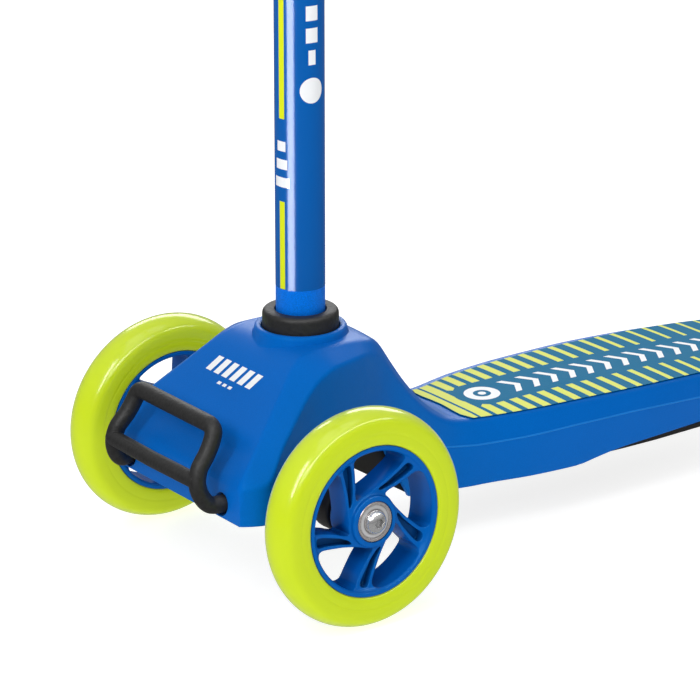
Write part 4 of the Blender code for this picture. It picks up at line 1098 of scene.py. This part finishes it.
dress(clamp, "base", DARK, "height_clamp", angle=34)

outline = rounded([(-12.4, 0), (-12.4, 4.4), (-11.4, 5.3), (-9.4, 5.4), (-9.4, 3), (18, 3), (18, 0)],
                  [0, 0.8, 0.6, 0.2, 0.2, 0.6, 0], 3)
bolt = lathe("clamp_screw", outline, at(0, CLAMP_Y, CLAMP_Z), ACROSS, 48, False)
cut(bolt, rod(2.5, at(-14, CLAMP_Y, CLAMP_Z), at(-10.4, CLAMP_Y, CLAMP_Z), 6))
dress(bolt, "base", STEEL, "clamp_bolt", angle=28)

cam = rounded([(9.4, 0), (9.4, 7), (19, 7), (19, 0)], [0, 0.6, 1.2, 0], 3)
lever = lathe("quick_lever", cam, at(0, CLAMP_Y, CLAMP_Z), ACROSS, 56, False)
blade = rounded([(-3, 481), (-3, 470), (0, 450), (5, 438), (9, 440), (8, 452), (9.5, 470), (9, 482)],
                [0, 5, 8, 2.5, 2.5, 8, 5, 0], 5)
join(lever, side_slab(blade, 13, 18.4))
cut(lever, rod(3.4, at(0, CLAMP_Y, CLAMP_Z), at(30, CLAMP_Y, CLAMP_Z), 36))
for k in range(5):
    z = 446 + 3.6 * k
    cut(lever, box((17.9, -6, z), (19.5, 14, z + 1.2)))
bevel(lever, 0.45, 50)
dress(lever, "lever", DARK, "clamp_lever", angle=34)

middle = at(0, COL_Y, BAR_Z)
stem = [(300, 9.4), (300, 10.7), (300.4, 11.1)] + [(z, 11.1) for z in range(310, 600, 10)]
stem += [(598, 11.1), (600.5, 12.6), (604, 13.6), (607, 14), (652, 14), (652, 9.4)]
dress(lathe("stem_tube", stem, column, UP), "bar", SATIN, "handlebar", angle=40)
half = [(23.6, 15), (24.6, 14.5), (25, 13.6), (25, 11.4), (25.3, 11.1), (130, 11.1), (130, 9.4)]
bar = lathe("cross_bar", [(-a, r) for a, r in half[::-1]] + half, middle, ACROSS)
dress(bar, "bar", SATIN, angle=40)
for z in (500, 520, 540, 560, 580):
    band = [(z - 0.35, 11.0), (z - 0.35, 11.14), (z + 0.35, 11.14), (z + 0.35, 11.0)]
    dress(lathe(f"height_mark_{z}", band, column, UP, 72), "bar", BLACK)

for side, name in SIDES:
    outline = [(0, 11.5), (0, 17.4), (0.5, 18), (2.6, 18), (3.4, 17.6), (4.4, 16.2), (5.6, 15.6)]
    for k in range(20):
        a = 8.0 + 4.3 * k
        outline += [(a, 15.5), (a + 0.35, 14.9), (a + 0.9, 14.8), (a + 1.25, 15.4), (a + 2.4, 15.6)]
    outline += [(95.6, 15.6), (96.8, 16.3), (97.8, 17.6), (98.6, 18), (100.8, 18), (101.2, 17.5),
                (101.2, 11.5)]
    grip = lathe(f"ribbed_grip_{name}", outline, middle + ACROSS * (0.030 * side), ACROSS * side, 88)
    dress(grip, "bar", GRIP, f"grip_{name}", angle=42)
    outline = rounded([(-14, 0), (-14, 8.4), (0.4, 9), (0.4, 13.6), (3.6, 13.6), (6, 10.5), (6.6, 0)],
                      [0, 0.6, 0.3, 0.3, 1.4, 2.0, 0], 4)
    end = middle + ACROSS * (0.1314 * side)
    plug = lathe(f"end_plug_{name}", outline, end, ACROSS * side, 72, False)
    dish = [(5.2, 0), (5.2, 4.6), (5.9, 6.2), (8, 6.6), (8, 0)]
    cut(plug, turned(dish, end, ACROSS * side, 64, False))
    dress(plug, "bar", LIME_PLASTIC, f"bar_end_{name}", angle=34)

# ---------------- studio

bpy.ops.mesh.primitive_plane_add(size=30, location=(0, 0, -0.0004))
floor = bpy.context.object
floor.name = "floor"
pale = bpy.data.materials.new("pale_floor")
pale.use_nodes = True
nodes = pale.node_tree.nodes
plain = adjust(nodes["Principled BSDF"], Base_Color=(0.5, 0.5, 0.5, 1), Roughness=0.9, Specular_IOR_Level=0.1,
               Emission_Color=(1, 1, 1, 1), Emission_Strength=0.76)
either = put(nodes, "MixShader")  # clear when it is seen from below
wire(put(nodes, "NewGeometry"), "Backfacing", either, "Fac")
wire(plain, "BSDF", either, 1)
wire(put(nodes, "BsdfTransparent"), "BSDF", either, 2)
wire(either, "Shader", nodes["Material Output"], "Surface")
floor.data.materials.append(pale)
floor.visible_glossy = False

# A sky that is brighter overhead lights the scooter, and the camera sees plain white instead of it
world = bpy.data.worlds.new("studio")
world.use_nodes = True
sky = world.node_tree.nodes
height = put(sky, "SeparateXYZ")
spread = put(sky, "MapRange", From_Min=-1)
shade = put(sky, "ValToRGB")
for place, tone in ((0.3, 0.3), (0.42, 0.26), (0.5, 0.16), (0.62, 0.4)):
    shade.color_ramp.elements.new(place).color = (tone, tone, tone, 1)
shade.color_ramp.elements[0].color = (0.3, 0.3, 0.3, 1)
shade.color_ramp.elements[-1].color = (1, 1, 1, 1)
glow = adjust(sky["Background"], Strength=0.68)
wire(put(sky, "TexCoord"), "Generated", height, "Vector")
wire(height, "Z", spread, "Value")
wire(spread, "Result", shade, "Fac")
wire(shade, "Color", glow, "Color")
seen = put(sky, "MixShader")
wire(put(sky, "LightPath"), "Is Camera Ray", seen, "Fac")
wire(glow, "Background", seen, 1)
wire(put(sky, "Background", Color=(1, 1, 1, 1)), "Background", seen, 2)
wire(seen, "Shader", sky["World Output"], "Surface")
bpy.context.scene.world = world


def away_at(azimuth, elevation):
    """Direction from the scooter at an azimuth, counted from the front, and an elevation."""
    level = math.cos(elevation)
    return Vector((math.sin(azimuth) * level, -math.cos(azimuth) * level, math.sin(elevation)))


def softbox(name, azimuth, elevation, distance, width, height, power, target=(0, -0.1, 0.15)):
    """Area light at an azimuth left of the viewing direction, aimed at the scooter."""
    away = away_at(VIEW_AZ - math.radians(azimuth), math.radians(elevation))
    data = bpy.data.lights.new(name, "AREA")
    data.shape = "RECTANGLE"
    data.size, data.size_y = width, height
    data.energy = power
    obj = bpy.data.objects.new(name, data)
    obj.location = Vector(target) + away * distance
    obj.rotation_mode = "QUATERNION"
    obj.rotation_quaternion = away.to_track_quat("Z", "Y")
    obj.visible_camera = False
    bpy.context.scene.collection.objects.link(obj)
    return obj


def only_on(light, *prefixes):
    """Limits a light to the reflections on the pieces whose names start so."""
    light.visible_diffuse = False
    receivers = bpy.data.collections.new(light.name + "_on")
    for obj in bpy.data.objects:
        if obj.name.startswith(prefixes):
            receivers.objects.link(obj)
    light.light_linking.receiver_collection = receivers


softbox("key", 33, 34, 1.9, 0.34, 1.1, 11)
softbox("front", 0, 32, 2.3, 1.2, 0.8, 8.5)
softbox("top", -20, 80, 1.8, 1.4, 1.4, 6)
softbox("back", 180, 24, 2.2, 2.0, 0.7, 16)
only_on(softbox("gleam", 180, 20, 2.3, 2.2, 0.5, 12), "hood_and_deck")
only_on(softbox("strip", 40, 0, 0.42, 0.24, 0.7, 23, column + UP * 0.12), "film_", "column_film")
gloss = softbox("gloss", -48, 47, 1.8, 3.0, 0.2, 15)
only_on(gloss, "front_left_tyre_cast", "front_right_tyre_cast", "rear_tyre_cast", "front_left_hub_spoked",
        "front_right_hub_spoked", "rear_hub_cast", "front_left_bolt", "collar")

data = bpy.data.cameras.new("view")
data.sensor_width = 36
data.lens = 184.577  # in millimetres, for an angle of view of 11.1 degrees
data.clip_start, data.clip_end = 0.05, 60
camera = bpy.data.objects.new("view", data)
right, back = Vector((math.cos(VIEW_AZ), math.sin(VIEW_AZ), 0)), away_at(VIEW_AZ, VIEW_EL)
facing = Matrix((right, back.cross(right), back)).transposed().to_4x4()
camera.matrix_world = Matrix.Translation(CAMERA_AT) @ facing
bpy.context.scene.collection.objects.link(camera)
bpy.context.scene.camera = camera
bpy.context.scene.view_settings.view_transform = "Standard"
